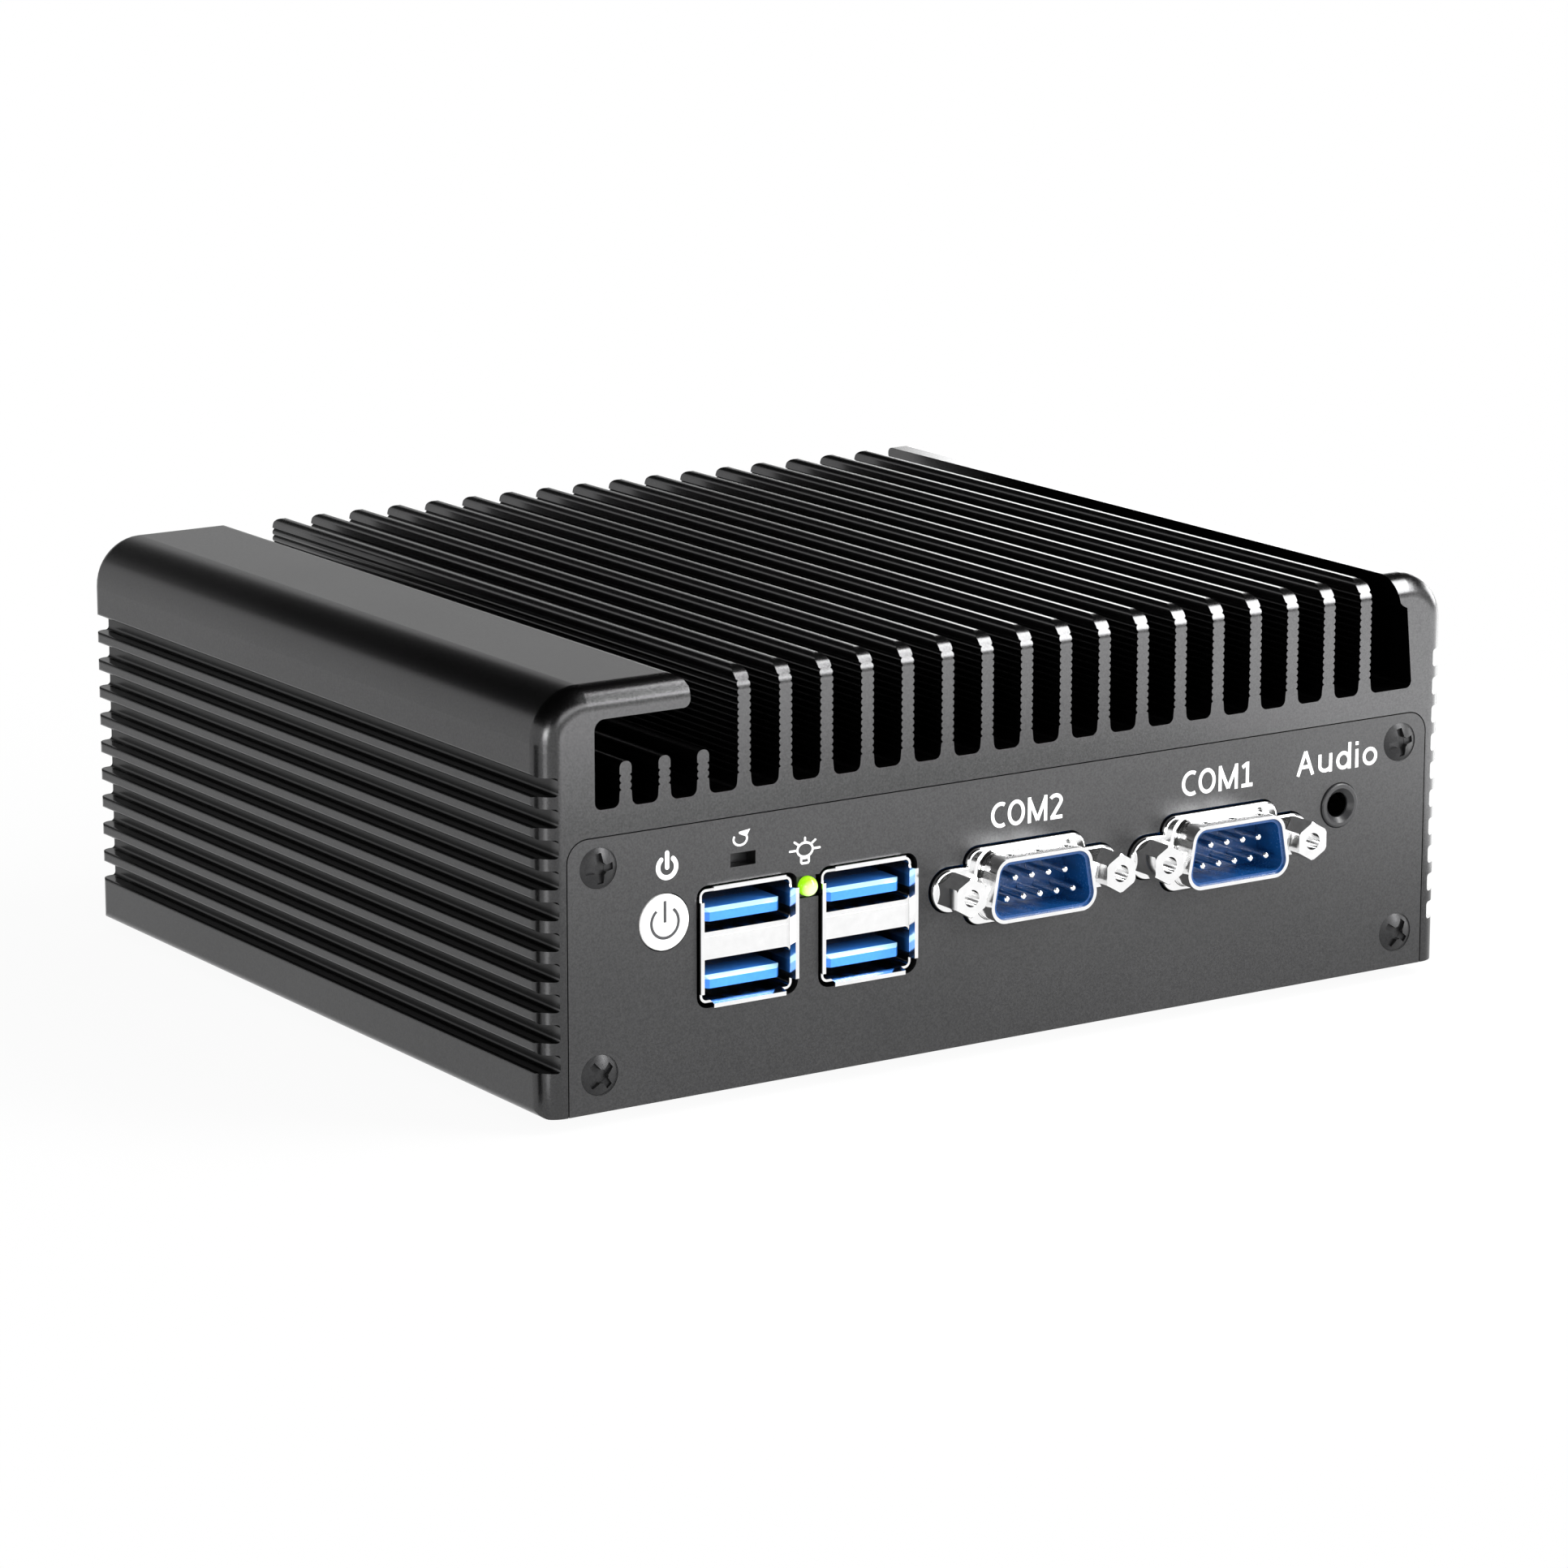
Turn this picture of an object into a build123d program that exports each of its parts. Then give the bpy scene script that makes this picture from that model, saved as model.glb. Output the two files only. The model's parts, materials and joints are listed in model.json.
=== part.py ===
from build123d import *
import math
import os

# Fanless mini computer: a finned aluminium housing around an inverted mainboard, closed by a
# front and a rear panel and a bottom cover. Millimetres. X runs along the front, Y from front to
# rear, Z up. The origin is under the middle of the housing, on the surface that the feet rest on.

# ---------------------------------------------------------------- driving sizes
case_width = 150.0
case_depth = 127.0
case_height = 57.0
foot_height = 2.0

top_corner_radius = 7.0
front_edge_round = 3.2
rear_edge_round = 1.8
bottom_corner_radius = 1.2

panel_side_margin = 3.65
panel_height = 37.0
panel_corner_radius = 3.0
panel_thickness = 2.0
panel_gap = 0.16

roof_top = 40.7
roof_thickness = 4.7
side_wall = 5.6
rail_depth = 6.9
lower_rail_height = 7.0
upper_rail_height = 5.4

groove_pitch = 4.114
groove_height = 2.52
groove_depth = 2.45
first_groove = 6.2
upper_band = 4.25
groove_edge_radius = 0.4
groove_root_radius = 0.5

fin_pitch = 6.513
fin_margin_left = 30.93
fin_margin_right = 14.86
fin_base_half = 1.12
fin_crest_half = 1.03
ridge_depth = 0.3
ridge_pitch = 0.94
ridge_start = 2.3
fin_root_radius = 1.0
fin_tip_radius = 0.85

short_fin_count = 3
short_fin_pitch = 5.96
short_fin_margin = 12.6
short_fin_height = 6.05
short_fin_base_half = 0.98
short_fin_crest_half = 0.92

left_wall_inner = 7.9
right_wall_inner = 6.4
right_wall_draft = 1.0
lip_reach = 22.6
lip_thickness = 4.3
lip_tip_radius = 2.1
lip_corner_radius = 1.5
right_lip_reach = 1.2
right_lip_height = 4.3

cover_thickness = 2.0
cover_gap = 0.15
running_gap = 0.10
screw_gap = 0.03
touch_gap = 0.02

# threaded fasteners: thread radius, head radius
m3_thread = 1.5
panel_screw_head = 2.75
panel_screw_dome = 0.9
panel_screw_sink = 0.1
panel_screw_length = 8.0
panel_screw_inset = 4.65
panel_screw_low = 5.1
panel_screw_high = 33.0
panel_screw_turns = (40, 5, 55, 10)
thread_end_room = 1.0

cover_screw_head = 2.8
cover_screw_length = 6.0
cover_screw_inset = 21.5

foot_radius = 6.0
foot_inset_x = 21.0
foot_inset_y = 17.5
foot_softening = 0.6
mount_hole_radius = 2.0
mount_hole_spacing = 75.0

# mainboard, hung under the roof
board_thickness = 1.6
board_under = 28.6
board_edge_gap = 1.0
board_corner_radius = 1.5
board_screw_head = 2.6
board_screw_head_height = 1.6
board_screw_length = 5.6
board_screw_thread = 1.25
standoff_hex = 5.0
standoff_thread = 1.5
standoff_stud = 3.0
standoff_inset_x = 17.4
standoff_inset_y = 25.5

# power button
button_x = -56.65
button_height = 24.35
button_radius = 3.8
button_hole_gap = 0.18
button_proud = 0.25
button_flange = 0.9
button_travel = 0.8
button_board_room = 0.3
button_stem_radius = 1.4
stem_engage = 2.0
switch_size = 8.0
switch_drop = 3.5
switch_set_back = 9.5
switch_depth = 7.5
spring_wire = 0.25
spring_room = 0.35
spring_turns = 4.5

# reset button
reset_x = -44.3
reset_height = 31.2
reset_slot_width = 3.95
reset_slot_height = 1.85
reset_travel = 0.4
reset_key_gap = 0.3
reset_head_overlap = 0.35
reset_head_depth = 1.0
reset_stem_width = 3.0
reset_stem_height = 1.3
reset_stem_engage = 1.2
reset_switch_set_back = 6.0
reset_switch_depth = 4.0
reset_switch_width = 5.2
reset_switch_wall = 0.55

# indicator lamp
lamp_x = -33.95
lamp_height = 26.0
lamp_radius = 1.35
lamp_proud = 1.2
lamp_notch_height = 3.0
lamp_length = 7.7
lamp_holder_width = 3.9
lamp_holder_drop = 2.2
lamp_holder_nose = 0.5
lamp_holder_start = 3.5
lamp_holder_end = 8.0

# stacked USB sockets
usb_x = (-43.6, -24.37)
usb_center_height = 20.0
usb_width = 14.5
usb_height = 15.5
usb_depth = 17.5
usb_wall = 0.35
usb_corner_radius = 1.0
usb_set_back = 0.4
usb_bridge_height = 3.75
usb_port_depth = 9.0
usb_tongue_width = 11.7
usb_tongue_thickness = 1.75
usb_tongue_pitch = 9.15
usb_tongue_drop = 0.6
usb_tongue_set_back = 0.6
usb_tongue_bevel = 0.55
usb_contact_width = 0.9
usb_contact_thickness = 0.12
usb_contact_set_back = 2.5
usb_contact_count = 4
usb_seam = 0.16
usb_seam_rise = 1.25
usb_lip_flare = 0.5
usb_lip_reach = 1.1
usb_lip_thickness = 0.56
usb_lip_side = 12.5
usb_lip_top = 11.4
usb_cutout_width = 16.0
usb_cutout_height = 16.7
usb_cutout_radius = 1.7

# D-shaped serial sockets
serial_x = (1.22, 34.47)
serial_height = 22.3
serial_screw_spacing = 24.99
serial_shell_height = 9.0
serial_shell_half = 8.45
serial_shell_slant = 10.0
serial_shell_radius = 2.4
serial_shell_wall = 0.5
serial_shell_reach = 5.0
serial_lining = 0.45
serial_root_radius = 0.8
serial_cup_depth = 5.9
serial_body_depth = 11.0
serial_bracket_depth = 5.0
serial_flange_front = 0.9
serial_flange_back = 0.3
serial_flange_end_radius = 3.0
serial_flange_mid_width = 19.8
serial_flange_mid_height = 10.7
serial_flange_mid_radius = 2.2
serial_flange_gap = 0.25
serial_flange_rounding = 0.35
serial_dimple_radius = 0.9
serial_dimple_depth = 0.28
serial_dimple_pitch = 4.7
serial_bracket_height = 6.0
pin_radius = 0.5
pin_pitch = 2.77
pin_row_spacing = 2.84
pin_reach = 4.2
pin_seat = 5.0
jack_hex = 4.8
jack_reach = 5.6
jack_thread = 1.42
jack_hole = 1.2
jack_corner = 0.3

# video socket on the rear panel
video_x = 16.0
video_hole_radius = 0.55
video_hole_pitch = 2.29
video_row_spacing = 1.98
# half width, height, corner radius, wall and reach of each D-shaped skirt
video_shell = (7.6, 7.4, 2.0, 0.5, 5.6)
serial_sizes = (serial_shell_half, serial_shell_height, serial_shell_radius)
serial_shell = (*serial_sizes, serial_shell_wall, serial_shell_reach)

# audio socket
audio_x = 56.0
audio_height = 25.2
audio_nose_radius = 3.2
audio_bore_radius = 1.8
audio_proud = 0.35
audio_depth = 16.0
audio_bore_depth = 14.0
audio_body_half = 4.0
audio_body_drop = 3.3
audio_flare = 0.7
audio_sleeve_start = 1.0
audio_sleeve_wall = 0.5
audio_sleeve_length = 5.0

# network sockets
network_x = (-9.0, -27.0)
network_width = 16.0
network_height = 13.5
network_depth = 21.0
network_opening_width = 11.8
network_opening_height = 8.3
network_opening_depth = 15.0
network_opening_drop = 0.6
network_latch_half = 3.1
network_latch_depth = 0.3
network_latch_step = 1.6
network_window_x = 5.6
network_window_width = 2.8
network_window_height = 1.6
network_window_rise = 1.0
network_wire_pitch = 1.02
network_wire_width = 0.44
shell_proud = 0.3

# display, power and rear USB sockets
display_x = 42.0
display_width = 15.0
display_height = 5.9
display_depth = 11.5
display_corner_cut = 1.6
display_blade_width = 10.4
display_blade_thickness = 1.4
display_blade_set_back = 1.0
display_fill_depth = 4.0
display_contact_pitch = 1.0
display_contact_width = 0.4
display_contact_thickness = 0.08
power_x = 57.0
power_body = 9.0
power_bore_radius = 3.2
power_bore_depth = 11.0
power_pin_radius = 1.0
power_pin_root = 1.5
power_pin_set_back = 0.8
power_pin_tip = 0.5
power_depth = 14.0
power_nose_gap = 0.3
rear_usb_x = -46.5
plug_x = -60.0
plug_heights = (14.0, 25.0)
plug_radius = 3.0
plug_rim = 1.2
plug_head = 1.0

# boards and chips inside
chip_y = -2.0
chip_size = 28.0
chip_height = 1.3
chip_base_thickness = 0.7
pad_thickness = 0.5
spreader_size = 46.0
memory_y = 21.5
socket_length = 70.0
socket_depth = 7.0
socket_height = 5.2
socket_lead = 3.0
socket_arm_length = 20.0
socket_arm_width = 1.4
memory_length = 67.6
memory_width = 30.0
memory_chip_pitch = 16.0
memory_chip_width = 11.0
memory_chip_thickness = 1.0
drive_wall = 40.0
drive_y = -30.0
drive_length = 80.0
card_width = 22.0
radio_wall = 58.0
radio_y = -6.0
radio_length = 30.0
card_drop = 2.4
card_thickness = 0.8
card_engage = 0.9
card_notch_radius = 1.75
card_socket_height = 4.2
card_socket_front = 4.0
card_socket_back = 3.0
card_chip_thickness = 1.1
card_post_radius = 2.6
cell_x = -49.0
cell_y = 0.0
cell_radius = 10.0
cell_thickness = 3.2
cell_floor = 1.2
cell_wall = 1.2
coil_size = 6.0
coil_height = 3.0
coil_places = [(60, 22), (60, 30), (-60, -30), (-60, -22)]

# ---------------------------------------------------------------- derived places
base = foot_height
front = -case_depth / 2
rear = case_depth / 2
side = case_width / 2
top = base + case_height
panel_half = side - panel_side_margin
panel_top = base + panel_height
roof_low = base + roof_top - roof_thickness
cavity_half = side - side_wall
rail_inner = cavity_half - rail_depth
cover_top = base + cover_thickness
board_low = base + board_under
board_high = board_low + board_thickness
panel_back_front = front + panel_thickness
panel_back_rear = rear - panel_thickness
panel_screw_x = panel_half - panel_screw_inset
cover_screw_y = rear - cover_screw_inset
foot_x = side - foot_inset_x
foot_y = rear - foot_inset_y
standoff_x = cavity_half - standoff_inset_x
standoff_y = rear - standoff_inset_y

# a hair is added before rounding down, so that an exact fit keeps its last fin or groove
count_hair = 0.01
fin_room = case_width - fin_margin_left - fin_margin_right
fin_count = math.floor(fin_room / fin_pitch + count_hair) + 1
groove_room = case_height - top_corner_radius - upper_band - first_groove - groove_height
groove_count = math.floor(groove_room / groove_pitch + count_hair) + 1

switch_face = front + switch_set_back
flange_front = panel_back_front + running_gap
cap_back = flange_front + button_flange
flange_radius = button_radius + button_flange
board_half_x = cavity_half - board_edge_gap
board_half_y = -cap_back - button_travel - button_board_room
usb_mouth = front + usb_set_back
usb_middle = base + usb_center_height
serial_middle = base + serial_height
spreader_low = board_high + chip_height + pad_thickness
card_middle = board_low - card_drop

nodes = {}


# ---------------------------------------------------------------- small shape helpers
def block(x0, x1, y0, y1, z0, z1):
    """Box between two corners."""
    return Pos((x0 + x1) / 2, (y0 + y1) / 2, (z0 + z1) / 2) * Box(x1 - x0, y1 - y0, z1 - z0)


def prism(face, y0, y1):
    """Extrude a face drawn in X and Z from y0 to y1."""
    plane = Plane(origin=(0, y1, 0), x_dir=(1, 0, 0), z_dir=(0, -1, 0))
    return extrude(plane * face, amount=y1 - y0, dir=(0, -1, 0))


def rod(radius, x, z, y0, y1):
    """Round bar along Y."""
    return prism(Pos(x, z) * Circle(radius), y0, y1)


def post(radius, x, y, z0, z1):
    """Round bar along Z."""
    return Pos(x, y, (z0 + z1) / 2) * Cylinder(radius, z1 - z0)


def rounded(width, height, radius, x, z):
    """Rounded rectangle in X and Z, centred at x, z."""
    return Pos(x, z) * RectangleRounded(width, height, radius)


def facing_rear(shape, x):
    """Turn a front-facing shape at x = 0 half a turn about Z, so that it faces the rear at x."""
    return Pos(x, 0, 0) * Rot(0, 0, 180) * shape


class Pen:
    """Collects the edges of a closed outline, point after point."""

    def __init__(self, x, z):
        self.start = (x, z)
        self.at = (x, z)
        self.edges = []

    def line(self, x, z):
        self.edges.append(Line(self.at, (x, z)))
        self.at = (x, z)

    def bow(self, mid_x, mid_z, x, z):
        """Arc through a middle point."""
        self.edges.append(ThreePointArc(self.at, (mid_x, mid_z), (x, z)))
        self.at = (x, z)

    def corner(self, x, z, turn):
        """Quarter arc to x, z. The turn is 1 to the left of the way travelled and -1 to the right."""
        x0, z0 = self.at
        reach = (math.sqrt(2) - 1) / 2 * turn
        self.bow((x0 + x) / 2 + (z - z0) * reach, (z0 + z) / 2 - (x - x0) * reach, x, z)

    def face(self):
        if math.dist(self.at, self.start) > 1e-6:
            self.line(*self.start)
        return make_face(self.edges)


# ---------------------------------------------------------------- housing
def add_fin(pen, x, height, base_half, crest_half):
    """Carry the outline up one side of a fin, over its tip and down the other side."""
    floor = base + roof_top
    ridge_low = floor + ridge_start
    ridges = int((height - ridge_start - fin_tip_radius * 2) / ridge_pitch)
    ridge_high = ridge_low + ridges * ridge_pitch
    valley = crest_half - ridge_depth
    tip = floor + height
    pen.line(x - base_half - fin_root_radius, floor)
    pen.corner(x - base_half, floor + fin_root_radius, 1)
    pen.line(x - crest_half, ridge_low - ridge_pitch / 4)
    pen.line(x - valley, ridge_low)
    for i in range(ridges):
        low = ridge_low + i * ridge_pitch
        pen.bow(x - crest_half, low + ridge_pitch / 2, x - valley, low + ridge_pitch)
    pen.line(x - crest_half, ridge_high + ridge_pitch / 4)
    pen.line(x - crest_half, tip - fin_tip_radius)
    pen.corner(x - crest_half + fin_tip_radius, tip, -1)
    pen.line(x + crest_half - fin_tip_radius, tip)
    pen.corner(x + crest_half, tip - fin_tip_radius, -1)
    pen.line(x + crest_half, ridge_high + ridge_pitch / 4)
    pen.line(x + valley, ridge_high)
    for i in reversed(range(ridges)):
        low = ridge_low + i * ridge_pitch
        pen.bow(x + crest_half, low + ridge_pitch / 2, x + valley, low)
    pen.line(x + crest_half, ridge_low - ridge_pitch / 4)
    pen.line(x + base_half, floor + fin_root_radius)
    pen.corner(x + base_half + fin_root_radius, floor, 1)


def housing_face():
    """Cross-section of the extruded housing in X and Z."""
    floor = base + roof_top
    lip_low = top - lip_thickness
    grooves = [base + first_groove + i * groove_pitch for i in range(groove_count)]
    rim = groove_edge_radius
    root = groove_root_radius
    pen = Pen(-side + bottom_corner_radius, base)
    pen.corner(-side, base + bottom_corner_radius, -1)
    for low in grooves:
        high = low + groove_height
        pen.line(-side, low - rim)
        pen.corner(-side + rim, low, -1)
        pen.line(-side + groove_depth - root, low)
        pen.corner(-side + groove_depth, low + root, 1)
        pen.line(-side + groove_depth, high - root)
        pen.corner(-side + groove_depth - root, high, 1)
        pen.line(-side + rim, high)
        pen.corner(-side, high + rim, -1)
    pen.line(-side, top - top_corner_radius)
    pen.corner(-side + top_corner_radius, top, -1)

    tip = -side + lip_reach
    pen.line(tip - lip_tip_radius, top)
    pen.corner(tip, top - lip_tip_radius, -1)
    pen.line(tip, lip_low + lip_tip_radius / 2)
    pen.corner(tip - lip_tip_radius / 2, lip_low, -1)
    wall = -side + left_wall_inner
    pen.line(wall + lip_corner_radius, lip_low)
    pen.corner(wall, lip_low - lip_corner_radius, 1)
    pen.line(wall, floor + fin_root_radius)
    pen.corner(wall + fin_root_radius, floor, 1)
    for i in range(short_fin_count):
        x = -side + short_fin_margin + i * short_fin_pitch
        add_fin(pen, x, short_fin_height, short_fin_base_half, short_fin_crest_half)
    for i in range(fin_count):
        x = -side + fin_margin_left + i * fin_pitch
        add_fin(pen, x, top - floor, fin_base_half, fin_crest_half)

    wall = side - right_wall_inner
    lip = wall - right_wall_draft
    pen.line(wall - fin_root_radius, floor)
    pen.corner(wall, floor + fin_root_radius, 1)
    pen.line(lip, top - right_lip_height - rim)
    pen.line(lip - right_lip_reach + rim, top - right_lip_height)
    pen.line(lip - right_lip_reach, top - right_lip_height + rim)
    pen.line(lip - right_lip_reach * 2, top)
    pen.line(side - top_corner_radius, top)
    pen.corner(side, top - top_corner_radius, -1)
    for low in reversed(grooves):
        high = low + groove_height
        pen.line(side, high + rim)
        pen.corner(side - rim, high, -1)
        pen.line(side - groove_depth + root, high)
        pen.corner(side - groove_depth, high - root, 1)
        pen.line(side - groove_depth, low + root)
        pen.corner(side - groove_depth + root, low, 1)
        pen.line(side - rim, low)
        pen.corner(side, low - rim, -1)
    pen.line(side, base + bottom_corner_radius)
    pen.corner(side - bottom_corner_radius, base, -1)

    ledge = panel_half + cover_gap
    rail_top = cover_top + lower_rail_height
    inner = [
        (ledge, base),
        (ledge, cover_top),
        (rail_inner, cover_top),
        (rail_inner, rail_top),
        (cavity_half, rail_top),
        (cavity_half, roof_low - upper_rail_height),
        (rail_inner, roof_low - upper_rail_height),
        (rail_inner, roof_low),
    ]
    for x, z in inner:
        pen.line(x, z)
    for x, z in reversed(inner):
        pen.line(-x, z)
    return pen.face()


def end_edges(shape, end):
    """Edges round the front face, end 0, or the rear face, end -1, all but the lowest."""
    return shape.faces().sort_by(Axis.Y)[end].edges().sort_by(Axis.Z)[1:]


def housing_envelope():
    """Block with the rounded top corners, and its front and rear edges rounded over."""
    shape = block(-side, side, front, rear, base, top)
    shape = fillet(shape.edges().filter_by(Axis.Y).group_by(Axis.Z)[-1], top_corner_radius)
    shape = fillet(end_edges(shape, 0), front_edge_round)
    return fillet(end_edges(shape, -1), rear_edge_round)


def panel_face(grow=0.0):
    """Outline of the front and rear panels, with rounded upper corners."""
    half = panel_half + grow
    high = panel_top + grow
    radius = panel_corner_radius + grow
    pen = Pen(-half, base - grow)
    pen.line(-half, high - radius)
    pen.corner(-half + radius, high, -1)
    pen.line(half - radius, high)
    pen.corner(half, high - radius, -1)
    pen.line(half, base - grow)
    return pen.face()


def panel_screw_places():
    """X and Z of the four screws in each panel."""
    heights = (base + panel_screw_low, base + panel_screw_high)
    return [(sign * panel_screw_x, z) for sign in (-1, 1) for z in heights]


def corners(x, y):
    """The four points at plus and minus x and y."""
    return [(sx * x, sy * y) for sx in (-1, 1) for sy in (-1, 1)]


def make_housing():
    shape = prism(housing_face(), front, rear) & housing_envelope()
    shape -= prism(panel_face(panel_gap), front - 1, panel_back_front)
    shape -= prism(panel_face(panel_gap), panel_back_rear, rear + 1)
    hole = m3_thread + screw_gap
    depth = panel_screw_length + thread_end_room
    for x, z in panel_screw_places():
        shape -= rod(hole, x, z, panel_back_front - 1, panel_back_front + depth)
        shape -= rod(hole, x, z, panel_back_rear - depth, panel_back_rear + 1)
    for x, y in corners(panel_screw_x, cover_screw_y):
        shape -= post(hole, x, y, cover_top - 1, base + cover_screw_length + thread_end_room)
    for x, y in corners(standoff_x, standoff_y):
        deep = roof_low + standoff_stud + screw_gap
        shape -= post(standoff_thread + screw_gap, x, y, roof_low - 1, deep)
    return shape


# ---------------------------------------------------------------- fasteners
def cross_recess(radius, depth):
    """Cross-shaped driver recess, drawn about Z and cut down from z = 0."""
    arm = radius * 0.34
    span = radius * 1.5
    slot = Box(span, arm, depth * 2) + Box(arm, span, depth * 2)
    return slot + Cylinder(arm, depth * 2.6)


def domed_screw(thread, length, head, dome, turn=0):
    """Low domed screw with its head seat at z = 0, the head above and the thread below."""
    sphere = (head ** 2 + dome ** 2) / (2 * dome)
    shape = Pos(0, 0, dome - sphere) * Sphere(sphere)
    shape &= Pos(0, 0, dome / 2) * Cylinder(head, dome)
    shape -= Pos(0, 0, dome) * Rot(0, 0, turn) * cross_recess(head, dome * 0.95)
    return shape + Pos(0, 0, -length / 2) * Cylinder(thread, length)


def panel_screws():
    """Screws of the front panel, seated in shallow counterbores."""
    seat = front + panel_screw_sink
    screws = []
    for (x, z), turn in zip(panel_screw_places(), panel_screw_turns):
        screw = domed_screw(m3_thread, panel_screw_length, panel_screw_head, panel_screw_dome, turn)
        screws.append(Pos(x, seat, z) * Rot(90, 0, 0) * screw)
    return screws


def cover_screws():
    """Countersunk screws that hold the bottom cover up against the lower rails."""
    screws = []
    for x, y in corners(panel_screw_x, cover_screw_y):
        sink = cover_screw_head - m3_thread
        head = Pos(0, 0, sink / 2) * Cone(cover_screw_head, m3_thread, sink)
        head -= cross_recess(cover_screw_head * 0.8, 0.7)
        shank = post(m3_thread, 0, 0, sink, cover_screw_length)
        screws.append(Pos(x, y, base) * (head + shank))
    return screws


# ---------------------------------------------------------------- panels and cover
def flange_face(grow=0.0):
    """Outline of a D-socket flange at x = 0: a tall middle with a rounded end round each screw."""
    ends = serial_flange_end_radius + grow
    length = serial_screw_spacing + 2 * ends
    width = serial_flange_mid_width + 2 * grow
    height = serial_flange_mid_height + 2 * grow
    middle = RectangleRounded(width, height, serial_flange_mid_radius + grow)
    return Pos(0, serial_middle) * (middle + SlotOverall(length, 2 * ends))


def d_face(half, height, radius, grow=0.0):
    """D outline at x = 0, wider at the bottom. Half is its half width at mid height."""
    lean = math.tan(math.radians(serial_shell_slant))
    half = half + grow / math.cos(math.radians(serial_shell_slant))
    reach = height / 2 + grow
    points = [
        (-half - lean * reach, -reach),
        (half + lean * reach, -reach),
        (half - lean * reach, reach),
        (-half + lean * reach, reach),
    ]
    outline = Polygon(*points, align=None)
    return Pos(0, serial_middle) * fillet(outline.vertices(), radius + grow)


def screw_seats(shape, front_side):
    """Cut the clearance holes and counterbores for a panel's four screws."""
    for x, z in panel_screw_places():
        hole = m3_thread + running_gap
        seat = panel_screw_head + running_gap
        shape -= rod(hole, x, z, front - 1, panel_back_front + 1)
        shape -= rod(seat, x, z, front - 1, front + panel_screw_sink)
    return shape if front_side else facing_rear(shape, 0)


def make_front_panel():
    shape = prism(panel_face(), front, panel_back_front)
    cuts = Sketch()
    for x in usb_x:
        place = (x, base + usb_center_height)
        cuts += rounded(usb_cutout_width, usb_cutout_height, usb_cutout_radius, *place)
    notch = usb_x[1] - usb_x[0]
    cuts += Pos((usb_x[0] + usb_x[1]) / 2, base + lamp_height) * Rectangle(notch, lamp_notch_height)
    for x in serial_x:
        cuts += Pos(x, 0) * flange_face(serial_flange_gap)
    cuts += Pos(button_x, base + button_height) * Circle(button_radius + button_hole_gap)
    cuts += Pos(reset_x, base + reset_height) * Rectangle(reset_slot_width, reset_slot_height)
    cuts += Pos(audio_x, base + audio_height) * Circle(audio_nose_radius + running_gap)
    shape -= prism(cuts, front - 1, panel_back_front + 1)
    return screw_seats(shape, True)


def make_rear_panel():
    """Built facing the front, with each socket's x mirrored, then turned to face the rear."""
    shape = prism(panel_face(), front, panel_back_front)
    gap = running_gap * 2
    usb = (-rear_usb_x, base + usb_center_height)
    cuts = rounded(usb_cutout_width, usb_cutout_height, usb_cutout_radius, *usb)
    cuts += Pos(-video_x, 0) * flange_face(serial_flange_gap)
    for x in network_x:
        z = base + board_under - network_height / 2
        cuts += Pos(-x, z) * Rectangle(network_width + 2 * gap, network_height + 2 * gap)
    z = base + board_under - display_height / 2
    cuts += Pos(-display_x, z) * Rectangle(display_width + 2 * gap, display_height + 2 * gap)
    z = base + board_under - power_body / 2
    cuts += Pos(-power_x, z) * Circle(power_body / 2 - power_nose_gap + gap)
    for height in plug_heights:
        cuts += Pos(-plug_x, base + height) * Circle(plug_radius)
    shape -= prism(cuts, front - 1, panel_back_front + 1)
    return screw_seats(shape, False)


def make_bottom_cover():
    half = panel_half
    low = panel_back_front + cover_gap
    shape = block(-half, half, low, -low, base, cover_top)
    for x, y in corners(panel_screw_x, cover_screw_y):
        sink = cover_screw_head - m3_thread + running_gap
        shape -= post(m3_thread + running_gap, x, y, base - 1, cover_top + 1)
        seat = Cone(cover_screw_head + running_gap, m3_thread, sink)
        shape -= Pos(x, y, base + sink / 2) * seat
    for x, y in corners(mount_hole_spacing / 2, mount_hole_spacing / 2):
        shape -= post(mount_hole_radius, x, y, base - 1, cover_top + 1)
    return shape


def make_feet():
    """Round rubber pads under the cover, with softened lower edges."""
    pad = Pos(0, 0, foot_height / 2) * Cylinder(foot_radius, foot_height)
    pad = fillet(pad.edges().sort_by(Axis.Z)[0], foot_softening)
    return [Pos(x, y) * pad for x, y in corners(foot_x, foot_y)]


# ---------------------------------------------------------------- power and reset buttons
def make_power_button():
    x, z = button_x, base + button_height
    cap = rod(button_radius, x, z, front - button_proud, flange_front)
    cap = chamfer(cap.edges().sort_by(Axis.Y)[0], button_proud * 0.6)
    cap += rod(flange_radius, x, z, flange_front, cap_back)
    return cap + rod(button_stem_radius, x, z, cap_back, switch_face + stem_engage)


def make_power_switch():
    x, z = button_x, base + button_height
    half = switch_size / 2
    back = switch_face + switch_depth
    shape = block(x - half, x + half, switch_face, back, z - switch_drop, board_low)
    depth = stem_engage + button_travel + running_gap
    return shape - rod(button_stem_radius + running_gap, x, z, switch_face - 1, switch_face + depth)


def make_button_spring():
    """Coil between the cap's flange and the switch."""
    coil = button_stem_radius + spring_wire + spring_room
    length = switch_face - cap_back - 2 * spring_wire - 2 * touch_gap
    path = Helix(length / spring_turns, length, coil)
    section = Plane(origin=path @ 0, z_dir=path % 0) * Circle(spring_wire)
    spring = sweep(section, path=path)
    start = cap_back + spring_wire + touch_gap
    return Pos(button_x, start, base + button_height) * Rot(-90, 0, 0) * spring


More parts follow.
